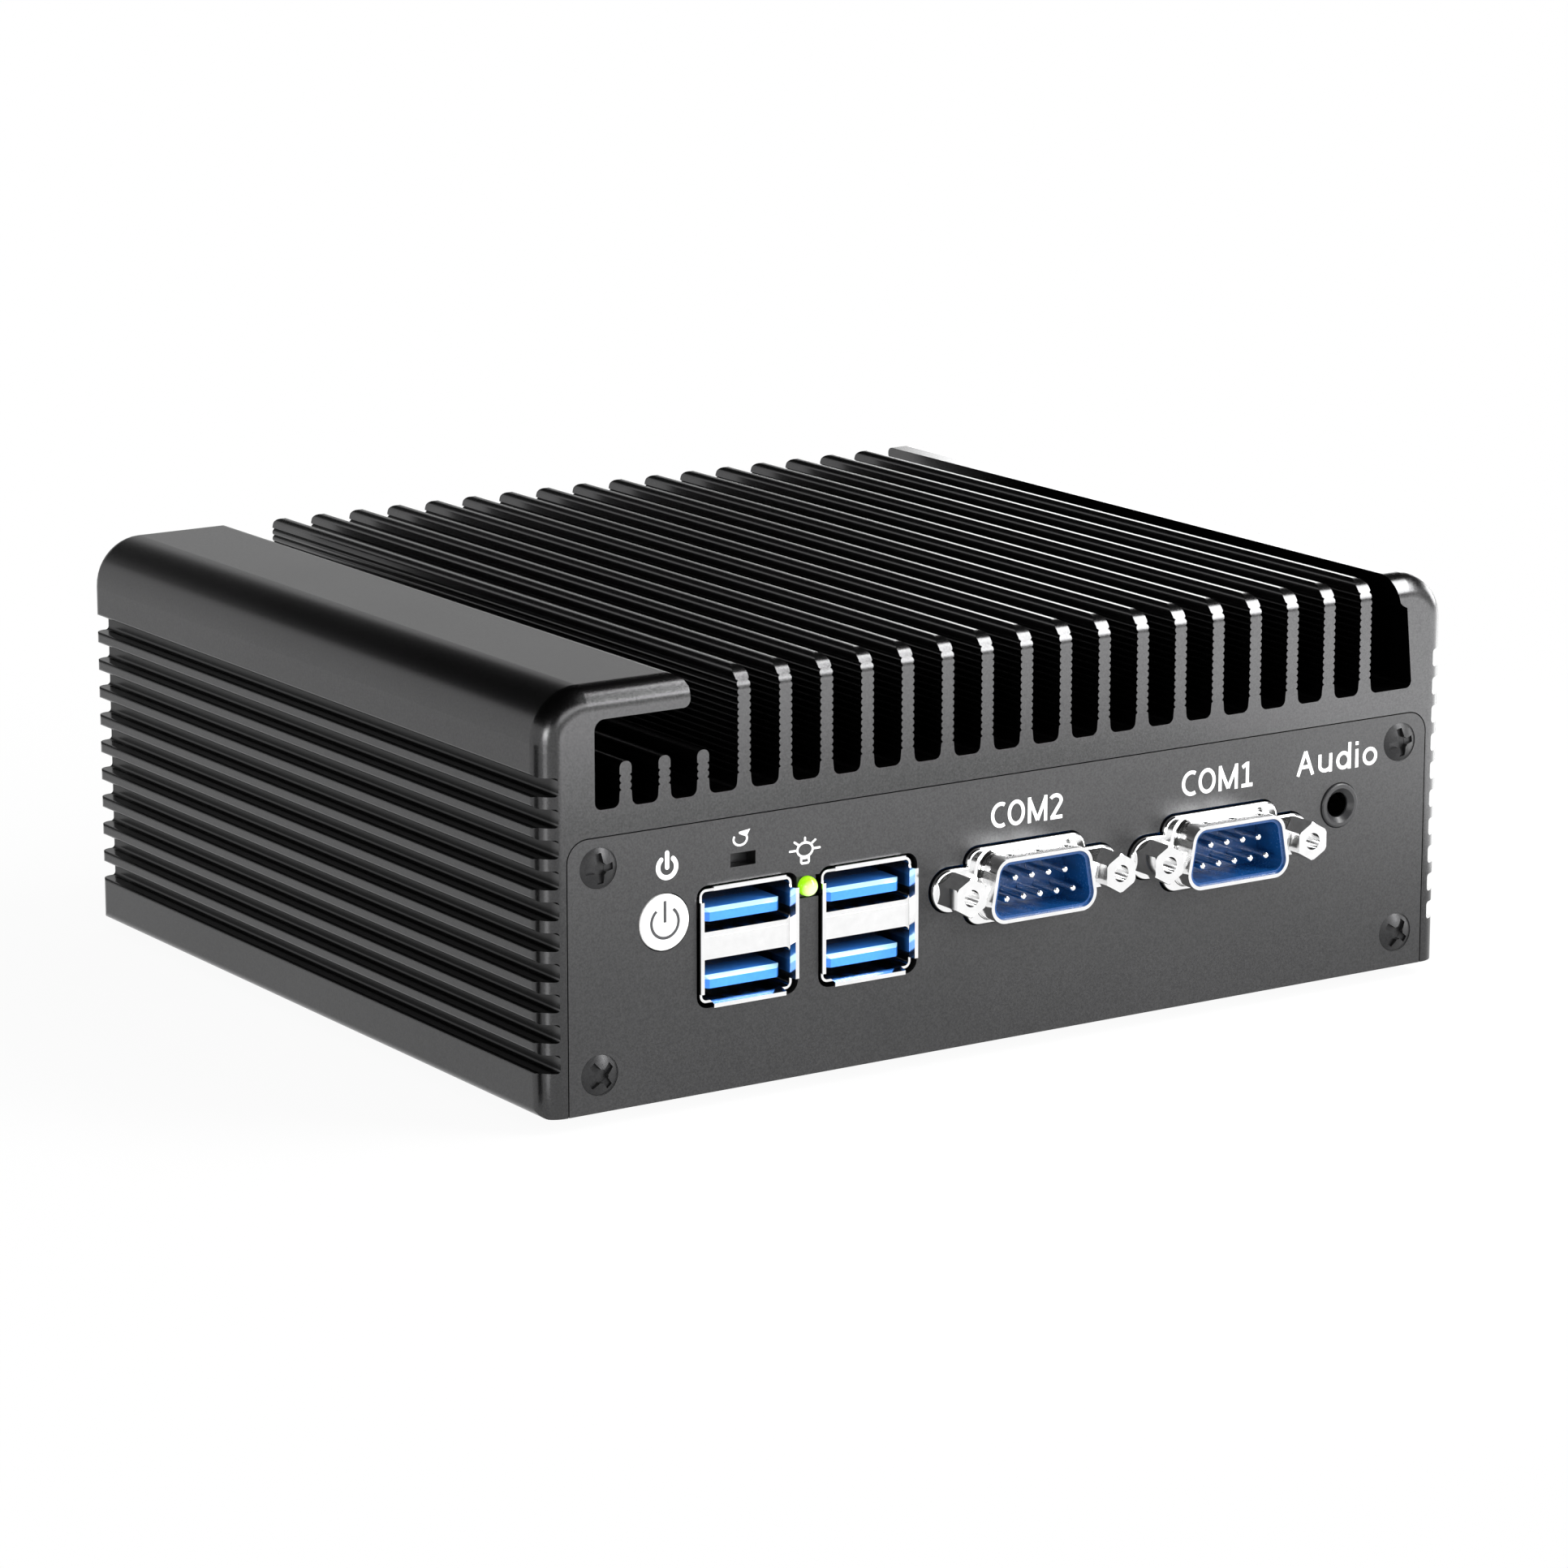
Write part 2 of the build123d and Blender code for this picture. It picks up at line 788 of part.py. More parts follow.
def bar(width, height, x, z, y0, y1):
    """Rectangular bar along Y, centred at x, z."""
    return block(x - width / 2, x + width / 2, y0, y1, z - height / 2, z + height / 2)


def make_reset_button():
    """Key with a head that covers the slot from behind and a slimmer stem into the switch."""
    x, z = reset_x, base + reset_height
    grow = 2 * reset_head_overlap
    face = panel_back_front + reset_key_gap
    neck = face + reset_head_depth
    head = bar(reset_slot_width + grow, reset_slot_height + grow, x, z, face, neck)
    back = front + reset_switch_set_back + reset_stem_engage
    return head + bar(reset_stem_width, reset_stem_height, x, z, neck, back)


def make_reset_switch():
    x, z = reset_x, base + reset_height
    half = reset_switch_width / 2
    face = front + reset_switch_set_back
    high = z + reset_stem_height / 2 + reset_switch_wall
    shape = block(x - half, x + half, face, face + reset_switch_depth, board_high, high)
    gap = 2 * running_gap
    depth = reset_stem_engage + reset_travel + running_gap
    return shape - bar(reset_stem_width + gap, reset_stem_height + gap, x, z, face - 1, face + depth)


# ---------------------------------------------------------------- indicator lamp
def make_lamp():
    x, z = lamp_x, base + lamp_height
    dome = front - lamp_proud + lamp_radius
    shape = rod(lamp_radius, x, z, dome, front - lamp_proud + lamp_length)
    return shape + Pos(x, dome, z) * Sphere(lamp_radius)


def make_lamp_holder():
    """Block on the board, with a nose that fills the notch round the lamp."""
    x, z = lamp_x, base + lamp_height
    half = lamp_holder_width / 2
    start = front + lamp_holder_start
    shape = block(x - half, x + half, start, front + lamp_holder_end, z - lamp_holder_drop, board_low)
    notch = usb_x[1] - usb_x[0] - usb_cutout_width
    middle = (usb_x[0] + usb_x[1]) / 2
    gap = 2 * running_gap
    shape += bar(notch - gap, lamp_notch_height - gap, middle, z, front + lamp_holder_nose, start)
    end = front - lamp_proud + lamp_length + touch_gap
    return shape - rod(lamp_radius + touch_gap, x, z, front - 1, end)


# ---------------------------------------------------------------- stacked USB sockets
def usb_lips():
    """Four spring tabs that flare out round the mouth of a stacked socket at x = 0."""
    half_w = usb_width / 2
    half_h = usb_height / 2
    tip = usb_mouth - usb_lip_reach
    wall = usb_wall
    outer = half_w + usb_lip_flare
    section = [
        (half_w - wall, usb_mouth + wall),
        (half_w, usb_mouth + wall),
        (outer, tip + wall * 0.6),
        (outer, tip),
        (outer - usb_lip_thickness, tip),
        (half_w - wall, usb_mouth - wall * 0.5),
    ]
    z = usb_middle
    right = extrude(Polygon(*section, align=None), amount=usb_lip_side, dir=(0, 0, 1))
    right = Pos(0, 0, z - usb_lip_side / 2) * right
    upper = Polygon(*[(y, z + half_h + x - half_w) for x, y in section], align=None)
    upper = extrude(Plane.YZ * upper, amount=usb_lip_top, dir=(1, 0, 0))
    upper = Pos(-usb_lip_top / 2, 0, 0) * upper
    return [right, mirror(right, Plane.YZ), upper, mirror(upper, Plane.XY.offset(z))]


def usb_port_centres():
    """Heights of the two ports of a stack."""
    opening = (usb_height - 2 * usb_wall - usb_bridge_height) / 2
    reach = (usb_bridge_height + opening) / 2
    return [usb_middle - reach, usb_middle + reach], opening


def usb_shell():
    """Plated steel shell of a stack at x = 0."""
    z = usb_middle
    back = usb_mouth + usb_depth
    shape = prism(rounded(usb_width, usb_height, usb_corner_radius, 0, z), usb_mouth, back)
    wide = usb_width - 2 * usb_wall
    heights, opening = usb_port_centres()
    for height in heights:
        hollow = rounded(wide, opening, usb_corner_radius - usb_wall, 0, height)
        shape -= prism(hollow, front, back + 1)
    bridge = usb_bridge_height - 2 * usb_wall
    shape -= prism(Pos(0, z) * Rectangle(wide, bridge), usb_mouth + usb_wall, back + 1)
    seam = usb_seam / 2
    ends = wide / 2 - seam
    rise = z + usb_seam_rise
    shape -= block(-ends, ends, front, usb_mouth + seam, rise - seam, rise + seam)
    for sign in (-1, 1):
        x = sign * ends
        low = z - usb_bridge_height / 2
        shape -= block(x - seam, x + seam, front, usb_mouth + usb_seam, low, low + usb_bridge_height)
    for lip in usb_lips():
        shape += lip
    return shape


def usb_tongue_places():
    """Top and bottom heights of the two tongues of a stack."""
    z = usb_middle - usb_tongue_drop
    half = usb_tongue_thickness / 2
    middles = [z + sign * usb_tongue_pitch / 2 for sign in (-1, 1)]
    return [(middle - half, middle + half) for middle in middles]


def usb_insulator():
    """Moulding at x = 0: a block that fills the back of each port and a bevelled tongue in it."""
    start = usb_mouth + usb_port_depth
    back = usb_mouth + usb_depth
    wide = usb_width - 2 * usb_wall - 2 * touch_gap
    heights, opening = usb_port_centres()
    tip = usb_mouth + usb_tongue_set_back
    parts = []
    for height, (low, high) in zip(heights, usb_tongue_places()):
        fill = rounded(wide, opening - 2 * touch_gap, usb_corner_radius - usb_wall, 0, height)
        tongue = block(-usb_tongue_width / 2, usb_tongue_width / 2, tip, start + 1, low, high)
        tongue = chamfer(end_edges(tongue, 0), usb_tongue_bevel)
        parts.append(prism(fill, start, back) + tongue)
    return parts


def usb_contacts():
    """Gold strips along the underside of each tongue of a stack at x = 0."""
    pitch = usb_tongue_width / (usb_contact_count + 0.6)
    strips = []
    for low, high in usb_tongue_places():
        for i in range(usb_contact_count):
            x = (i - (usb_contact_count - 1) / 2) * pitch
            half = usb_contact_width / 2
            start = usb_mouth + usb_contact_set_back
            end = usb_mouth + usb_port_depth
            strips.append(block(x - half, x + half, start, end, low - usb_contact_thickness, low))
    return strips


# ---------------------------------------------------------------- D-shaped sockets
def d_skirt_root(shape, half, height, radius, y):
    """Edges at y where the skirt stands on its flange, at x = 0."""
    limit = d_face(half, height, radius, touch_gap).bounding_box()
    flat = [e for e in shape.edges() if e.bounding_box().size.Y < touch_gap]
    near = [e for e in flat if abs(e.center().Y - y) < touch_gap]
    inside = [e for e in near if abs(e.center().X) < limit.max.X]
    return [e for e in inside if limit.min.Y < e.center().Z < limit.max.Y]


def d_shell(half, height, radius, wall, reach):
    """Stamped flange with a D-shaped skirt at x = 0, and three dimples on top of the skirt."""
    plate_front = front - serial_flange_front
    plate_back = front + serial_flange_back
    shape = prism(flange_face(), plate_front, plate_back)
    shape = fillet(shape.faces().sort_by(Axis.Y)[0].edges(), serial_flange_rounding)
    shape += prism(d_face(half, height, radius), front - reach, plate_back)
    root = d_skirt_root(shape, half, height, radius, plate_front)
    shape = fillet(root, serial_root_radius)
    shape -= prism(d_face(half, height, radius, -wall), front - reach - 1, plate_back + 1)
    dimple_y = (front - reach + plate_front - serial_root_radius) / 2
    dimple_z = serial_middle + height / 2 + serial_dimple_radius - serial_dimple_depth
    for i in (-1, 0, 1):
        shape -= Pos(i * serial_dimple_pitch, dimple_y, dimple_z) * Sphere(serial_dimple_radius)
    for sign in (-1, 1):
        x = sign * serial_screw_spacing / 2
        shape -= rod(jack_thread + running_gap, x, serial_middle, plate_front - 1, plate_back + 1)
    return shape


def d_bracket(depth):
    """Rear moulding behind a flange at x = 0, up to the board and out to the jack screws."""
    start = front + serial_flange_back
    half = serial_screw_spacing / 2 + serial_flange_end_radius
    z = serial_middle
    ear = serial_bracket_height / 2
    clear = panel_back_front + cover_gap
    shape = prism(flange_face(), start, clear)
    shape += block(-half, half, clear, start + serial_bracket_depth, z - ear, z + ear)
    wide = serial_flange_mid_width / 2
    shape += block(-wide, wide, clear, start + depth, z - serial_flange_mid_height / 2, board_low)
    for sign in (-1, 1):
        x = sign * serial_screw_spacing / 2
        shape -= rod(jack_thread + screw_gap, x, z, start - 1, start + serial_bracket_depth + 1)
    return shape


def serial_insulator():
    """Cup that lines the skirt, with its floor behind the pins, on the rear moulding."""
    wall = serial_shell_wall + touch_gap
    rim = front - serial_shell_reach + 0.35
    floor = front - serial_shell_reach + serial_cup_depth
    start = front + serial_flange_back
    shape = prism(d_face(*serial_sizes, -wall), rim, start) + d_bracket(serial_body_depth)
    shape -= prism(d_face(*serial_sizes, -wall - serial_lining), rim - 1, floor)
    for x, z in pin_places():
        shape -= rod(pin_radius + touch_gap, x, z, floor - 1, floor + pin_seat + touch_gap)
    return shape


def pin_places():
    """X and Z of nine pins at x = 0: four above five."""
    z = serial_middle
    upper = [((i - 1.5) * pin_pitch, z + pin_row_spacing / 2) for i in range(4)]
    lower = [((i - 2.0) * pin_pitch, z - pin_row_spacing / 2) for i in range(5)]
    return upper + lower


def serial_pins():
    floor = front - serial_shell_reach + serial_cup_depth
    pins = []
    for x, z in pin_places():
        tip = front - pin_reach
        pin = rod(pin_radius, x, z, tip, floor + pin_seat)
        pins.append(fillet(pin.edges().sort_by(Axis.Y)[0], pin_radius * 0.85))
    return pins


def jack_screws():
    """Hexagonal jack screws at x = 0, each with a threaded hole in its nose."""
    seat = front - serial_flange_front
    nose = front - jack_reach
    screws = []
    for sign in (-1, 1):
        x = sign * serial_screw_spacing / 2
        z = serial_middle
        hexagon = Pos(x, z) * RegularPolygon(jack_hex / 2, 6, major_radius=False, rotation=30)
        body = prism(hexagon, nose, seat)
        guard = rod(jack_hex / math.sqrt(3) + jack_corner / 2, x, z, nose, seat)
        body &= chamfer(guard.edges().sort_by(Axis.Y)[0], jack_corner)
        body -= rod(jack_hole, x, z, nose - 1, seat - jack_corner)
        body += rod(jack_thread, x, z, seat, front + serial_flange_back + serial_bracket_depth)
        screws.append(body)
    return screws


# ---------------------------------------------------------------- audio socket
def make_audio_socket():
    x, z = audio_x, base + audio_height
    nose = front - audio_proud
    half = audio_body_half
    start = panel_back_front + cover_gap
    body = block(x - half, x + half, start, front + audio_depth, z - audio_body_drop, board_low)
    tube = rod(audio_nose_radius, x, z, nose, start)
    tube = fillet(tube.edges().sort_by(Axis.Y)[0], audio_proud * 0.8)
    shape = body + tube - rod(audio_bore_radius, x, z, nose - 1, front + audio_bore_depth)
    cone = Cone(audio_bore_radius + audio_flare, audio_bore_radius, audio_flare)
    shape -= Pos(x, nose + audio_flare / 2, z) * Rot(-90, 0, 0) * cone
    seat = audio_bore_radius + audio_sleeve_wall + touch_gap
    start = nose + audio_sleeve_start
    return shape - rod(seat, x, z, start, start + audio_sleeve_length)


def make_audio_sleeve():
    x, z = audio_x, base + audio_height
    start = front - audio_proud + audio_sleeve_start + touch_gap
    end = start + audio_sleeve_length - 2 * touch_gap
    tube = rod(audio_bore_radius + audio_sleeve_wall, x, z, start, end)
    return tube - rod(audio_bore_radius, x, z, start - 1, end + 1)


# ---------------------------------------------------------------- rear sockets
def video_insulator():
    """Face with three rows of pin holes inside the skirt, on the rear moulding, at x = 0."""
    half, height, radius, wall, reach = video_shell
    face = front - reach + 0.3
    start = front + serial_flange_back
    shape = prism(d_face(half, height, radius, -wall - touch_gap), face, start)
    shape += d_bracket(serial_body_depth)
    for row in range(3):
        shift = (row % 2 - 0.5) * video_hole_pitch / 2
        z = serial_middle + (row - 1) * video_row_spacing
        for i in range(5):
            x = (i - 2) * video_hole_pitch + shift
            shape -= rod(video_hole_radius, x, z, face - 1, face + pin_seat)
    return shape


def network_shell():
    """Steel can of a network socket at x = 0, open at its front."""
    high = board_low
    low = high - network_height
    half = network_width / 2
    wall = usb_wall
    back = front + network_depth
    shape = block(-half, half, front - shell_proud, back, low, high)
    return shape - block(-half + wall, half - wall, front - 1, back - wall, low + wall, high - wall)


def network_opening(depth):
    """Mouth of the socket at x = 0, with the stepped slot for the plug's latch."""
    z = board_low - network_height / 2 - network_opening_drop
    wide = network_opening_width / 2
    tall = network_opening_height / 2
    latch = network_latch_half
    back = front + depth
    mouth = block(-wide, wide, front - 1, back, z - tall + network_latch_step, z + tall)
    return mouth + block(-latch, latch, front - 1, back, z - tall - network_latch_depth, z)


def network_insert():
    gap = usb_wall + touch_gap
    half = network_width / 2 - gap
    back = front + network_depth - gap
    shape = block(-half, half, front, back, board_low - network_height + gap, board_low - gap)
    shape -= network_opening(network_opening_depth)
    for sign in (-1, 1):
        shape -= lamp_window(sign, touch_gap)
    return shape


def lamp_window(sign, grow=0.0):
    """Small light window in a lower corner of a network socket at x = 0."""
    z = board_low - network_height + network_window_rise + network_window_height / 2
    wide = network_window_width + 2 * grow
    tall = network_window_height + 2 * grow
    x = sign * network_window_x
    return bar(wide, tall, x, z, front - shell_proud / 2, front + 3 + grow)


def network_contacts():
    """Eight spring wires across the back of the opening, at x = 0."""
    mouth_top = board_low - network_height / 2 - network_opening_drop + network_opening_height / 2
    z = mouth_top - 1.5 * network_wire_width
    places = [(i - 3.5) * network_wire_pitch for i in range(8)]
    return [bar(network_wire_width, network_wire_width, x, z, front + 4, front + 11) for x in places]


def display_outline(inset):
    """Wide mouth with its two lower corners cut off, at x = 0."""
    high = board_low - inset
    low = board_low - display_height + inset
    half = display_width / 2 - inset
    cut = display_corner_cut
    lower = [(half, low + cut), (half - cut, low), (-half + cut, low), (-half, low + cut)]
    return Polygon((-half, high), (half, high), *lower, align=None)


def display_shell():
    shape = prism(display_outline(0), front - shell_proud, front + display_depth)
    return shape - prism(display_outline(usb_wall), front - 1, front + display_depth + 1)


def display_blade_middle():
    """Height of the middle of the contact blade."""
    return board_low - display_height / 2 + usb_wall / 2


def display_insulator():
    back = front + display_depth
    start = back - display_fill_depth
    fill = prism(display_outline(usb_wall + touch_gap), start, back)
    tip = front + display_blade_set_back
    z = display_blade_middle()
    return fill + bar(display_blade_width, display_blade_thickness, 0, z, tip, start + 1)


def display_contacts():
    thick = display_contact_thickness
    z = display_blade_middle() + (display_blade_thickness + thick) / 2
    start = front + display_blade_set_back * 1.6
    end = front + display_depth - display_fill_depth
    places = [(i - 4.5) * display_contact_pitch for i in range(10)]
    return [bar(display_contact_width, thick, x, z, start, end) for x in places]


def power_body_block():
    """Moulded power inlet at x = 0: a round nose through the panel on a square body."""
    half = power_body / 2
    z = board_low - half
    start = panel_back_front + cover_gap
    body = block(-half, half, start, front + power_depth, z - half, board_low)
    nose = rod(half - power_nose_gap, 0, z, front - shell_proud, start)
    nose = fillet(nose.edges().sort_by(Axis.Y)[0], shell_proud)
    floor = front + power_bore_depth
    shape = body + nose - rod(power_bore_radius, 0, z, front - 1, floor)
    return shape - rod(power_pin_root + touch_gap, 0, z, floor - 1, front + power_depth)


def power_pin():
    """Contact pin with a thicker root that sits in the body."""
    z = board_low - power_body / 2
    floor = front + power_bore_depth
    pin = rod(power_pin_radius, 0, z, front + power_pin_set_back, floor)
    pin = fillet(pin.edges().sort_by(Axis.Y)[0], power_pin_tip)
    return pin + rod(power_pin_root, 0, z, floor, front + power_depth)


def hole_plug(height):
    """Rubber plug at x = 0: a head outside, a neck through the panel and a retaining rim inside."""
    z = base + height
    head = rod(plug_radius + plug_rim, 0, z, front - plug_head, front - touch_gap)
    head = fillet(head.edges().sort_by(Axis.Y)[0], plug_head * 0.6)
    neck = rod(plug_radius - touch_gap, 0, z, front - touch_gap, panel_back_front + touch_gap)
    rim = rod(plug_radius + plug_rim / 2, 0, z, panel_back_front + touch_gap, panel_back_front + plug_rim)
    return head + neck + rim


# ---------------------------------------------------------------- mainboard and its parts
def make_mainboard():
    shape = block(-board_half_x, board_half_x, -board_half_y, board_half_y, board_low, board_high)
    shape = fillet(shape.edges().filter_by(Axis.Z), board_corner_radius)
    for x, y in corners(standoff_x, standoff_y):
        shape -= post(board_screw_thread + running_gap, x, y, board_low - 1, board_high + 1)
    return shape


def make_standoffs():
    """Hexagonal pillars between board and roof, with a stud up into the roof."""
    hexagon = RegularPolygon(standoff_hex / 2, 6, major_radius=False)
    deep = board_low + board_screw_length + screw_gap
    pillars = []
    for x, y in corners(standoff_x, standoff_y):
        body = Pos(x, y, board_high) * extrude(hexagon, amount=roof_low - board_high)
        body += post(standoff_thread, x, y, roof_low, roof_low + standoff_stud)
        pillars.append(body - post(board_screw_thread + screw_gap, x, y, board_high - 1, deep))
    return pillars


def make_board_screws():
    """Screws up through the board into the pillars."""
    low = -board_screw_head_height
    head = post(board_screw_head, 0, 0, low, 0)
    head = fillet(head.edges().sort_by(Axis.Z)[0], board_screw_head_height * 0.45)
    head -= Pos(0, 0, low) * cross_recess(board_screw_head * 0.8, board_screw_head_height / 2)
    screw = head + post(board_screw_thread, 0, 0, 0, board_screw_length)
    return [Pos(x, y, board_low) * screw for x, y in corners(standoff_x, standoff_y)]


def slab(half_x, half_y, z0, z1):
    """Plate centred under the middle of the processor."""
    return block(-half_x, half_x, chip_y - half_y, chip_y + half_y, z0, z1)


def make_chip():
    half = chip_size / 2
    step = board_high + chip_base_thickness
    base_plate = slab(half, half * 0.8, board_high, step)
    return base_plate + slab(half * 0.4, half * 0.28, step, board_high + chip_height)


def make_pad():
    half = chip_size * 0.3
    return slab(half, half, board_high + chip_height, spreader_low)


def make_spreader():
    half = spreader_size / 2
    shape = slab(half, half, spreader_low, roof_low)
    return chamfer(shape.edges().filter_by(Axis.Z), chip_size / 14)


def make_memory_socket():
    """Slot moulding with an arm along each end of the module."""
    half = socket_length / 2
    low = board_low - socket_height
    back = memory_y + memory_width / 2 + socket_lead
    face = back - socket_depth
    shape = block(-half, half, face, back, low, board_low)
    z = board_low - socket_height / 2
    wide = memory_length + 2 * running_gap
    mouth = card_thickness + 2 * running_gap
    shape -= bar(wide, mouth, 0, z, face - 1, back - socket_lead + 0.5)
    arm = socket_arm_width / 2
    for sign in (-1, 1):
        x = sign * (memory_length / 2 + socket_arm_width)
        shape += block(x - arm, x + arm, face - socket_arm_length, face, low + 1, board_low)
    return shape


def make_memory_module():
    """Card in the slot with chips on its lower face."""
    z = board_low - socket_height / 2
    edge = memory_y + memory_width / 2 + 0.4
    card = bar(memory_length, card_thickness, 0, z, edge - memory_width, edge)
    low = z - card_thickness / 2 - memory_chip_thickness / 2
    for i in range(4):
        x = (i - 1.5) * memory_chip_pitch
        card += bar(memory_chip_width, memory_chip_thickness, x, low, edge - 20, edge - 8)
    return card


def card_slot(wall, y):
    """Edge socket, at x = wall, whose slot opens towards -X."""
    face = wall - card_socket_front
    half = card_width / 2
    low = board_low - card_socket_height
    shape = block(face, wall + card_socket_back, y - half, y + half, low, board_low)
    inner = half - 0.5
    mouth = card_thickness / 2 + running_gap
    end = wall + card_engage + running_gap
    return shape - block(face - 1, end, y - inner, y + inner, card_middle - mouth, card_middle + mouth)


def edge_card(wall, y, length):
    """Card in an edge socket, with chips below it and a half-round screw notch at its free end."""
    z = card_middle
    thick = card_thickness / 2
    half = card_width / 2
    end = wall + card_engage
    tongue = half - 1
    neck = wall - card_socket_front - 0.5
    card = block(end - length, neck, y - half, y + half, z - thick, z + thick)
    card += block(neck, end, y - tongue, y + tongue, z - thick, z + thick)
    chips = int(length / card_width)
    pitch = (neck - end + length - 8) / chips
    for i in range(chips):
        x = neck - 1 - (i + 0.5) * pitch
        low = z - thick - card_chip_thickness
        card += block(x - 6, x + 6, y - half + 3, y + half - 3, low, z - thick)
    return card - post(card_notch_radius + running_gap, end - length, y, z - 2, z + 2)


def make_card_posts():
    """Threaded pillar and flat screw at the free end of each edge card."""
    ends = [(drive_wall - drive_length, drive_y), (radio_wall - radio_length, radio_y)]
    under = card_middle - card_thickness / 2
    over = card_middle + card_thickness / 2
    posts = []
    for x, y in ends:
        x += card_engage
        pillar = post(card_post_radius, x, y, over, board_low)
        neck = post(card_notch_radius, x, y, under, over)
        posts.append(pillar + neck + post(card_post_radius, x, y, under - card_thickness, under))
    return posts


def make_cell_holder():
    high = board_low - cell_floor
    low = high - cell_thickness
    shape = post(cell_radius + cell_wall, cell_x, cell_y, low, board_low)
    return shape - post(cell_radius + running_gap, cell_x, cell_y, low - 1, high)


def make_cell():
    high = board_low - cell_floor
    cell = post(cell_radius, cell_x, cell_y, high - cell_thickness, high)
    return fillet(cell.edges().sort_by(Axis.Z)[0], cell_thickness * 0.15)


def make_coils():
    """Square power coils near the power inlet and the button."""
    half = coil_size / 2
    coil = block(-half, half, -half, half, board_low - coil_height, board_low)
    return [Pos(x, y) * coil for x, y in coil_places]


# ---------------------------------------------------------------- all nodes
def at_front(make, places):
    """One copy of a shape, or of each of several, at every x."""
    made = make()
    made = made if isinstance(made, list) else [made]
    return [Pos(x, 0, 0) * part for x in places for part in made]


def at_rear(make, places):
    made = make()
    made = made if isinstance(made, list) else [made]
    return [facing_rear(part, x) for x in places for part in made]


nodes["housing"] = [make_housing()]
nodes["front_panel"] = [make_front_panel()]
nodes["rear_panel"] = [make_rear_panel()]
nodes["bottom_cover"] = [make_bottom_cover()]
nodes["front_panel_screws"] = panel_screws()
nodes["rear_panel_screws"] = [facing_rear(screw, 0) for screw in panel_screws()]
nodes["bottom_cover_screws"] = cover_screws()
nodes["feet"] = make_feet()
nodes["power_button"] = [make_power_button()]
nodes["power_button_spring"] = [make_button_spring()]
nodes["power_switch"] = [make_power_switch()]
nodes["reset_button"] = [make_reset_button()]
nodes["reset_switch"] = [make_reset_switch()]
nodes["indicator_lamp"] = [make_lamp()]
nodes["lamp_holder"] = [make_lamp_holder()]
for name, x in zip(("left", "right"), usb_x):
    nodes["usb_shell_" + name] = at_front(usb_shell, [x])
    nodes["usb_tongues_" + name] = at_front(usb_insulator, [x])
nodes["usb_contacts"] = at_front(usb_contacts, usb_x)
for name, x in zip(("com2", "com1"), serial_x):
    nodes[name + "_shell"] = at_front(lambda: d_shell(*serial_shell), [x])
    nodes[name + "_insulator"] = at_front(serial_insulator, [x])
    nodes[name + "_pins"] = at_front(serial_pins, [x])
nodes["com_jack_screws"] = at_front(jack_screws, serial_x)
nodes["audio_socket"] = [make_audio_socket()]
nodes["audio_sleeve"] = [make_audio_sleeve()]
nodes["video_shell"] = at_rear(lambda: d_shell(*video_shell), [video_x])
nodes["video_insulator"] = at_rear(video_insulator, [video_x])
nodes["video_jack_screws"] = at_rear(jack_screws, [video_x])
nodes["network_shells"] = at_rear(network_shell, network_x)
nodes["network_inserts"] = at_rear(network_insert, network_x)
nodes["network_contacts"] = at_rear(network_contacts, network_x)
nodes["network_lamps"] = at_rear(lambda: [lamp_window(-1), lamp_window(1)], network_x)
nodes["display_shell"] = at_rear(display_shell, [display_x])
nodes["display_insulator"] = at_rear(display_insulator, [display_x])
nodes["display_contacts"] = at_rear(display_contacts, [display_x])
nodes["power_inlet"] = at_rear(power_body_block, [power_x])
nodes["power_inlet_pin"] = at_rear(power_pin, [power_x])
nodes["rear_usb_shell"] = at_rear(usb_shell, [rear_usb_x])
nodes["rear_usb_tongues"] = at_rear(usb_insulator, [rear_usb_x])
nodes["rear_usb_contacts"] = at_rear(usb_contacts, [rear_usb_x])
nodes["antenna_hole_plugs"] = [facing_rear(hole_plug(height), plug_x) for height in plug_heights]
nodes["mainboard"] = [make_mainboard()]
nodes["board_standoffs"] = make_standoffs()
nodes["board_screws"] = make_board_screws()
nodes["processor"] = [make_chip()]
nodes["thermal_pad"] = [make_pad()]
nodes["heat_spreader"] = [make_spreader()]
nodes["memory_socket"] = [make_memory_socket()]
nodes["memory_module"] = [make_memory_module()]
nodes["card_sockets"] = [card_slot(drive_wall, drive_y), card_slot(radio_wall, radio_y)]
nodes["drive_card"] = [edge_card(drive_wall, drive_y, drive_length)]
nodes["radio_card"] = [edge_card(radio_wall, radio_y, radio_length)]
nodes["card_posts"] = make_card_posts()
nodes["cell_holder"] = [make_cell_holder()]
nodes["coin_cell"] = [make_cell()]
nodes["power_coils"] = make_coils()

os.makedirs("parts", exist_ok=True)
for name, solids in nodes.items():
    solids = [solid for shape in solids for solid in shape.solids()]
    whole = solids[0] if len(solids) == 1 else Compound(children=solids)
    export_step(whole, "parts/" + name + ".step")
print(len(nodes), "nodes written")
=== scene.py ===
import json
import math
import bpy
import numpy as np
from mathutils import Matrix, Vector


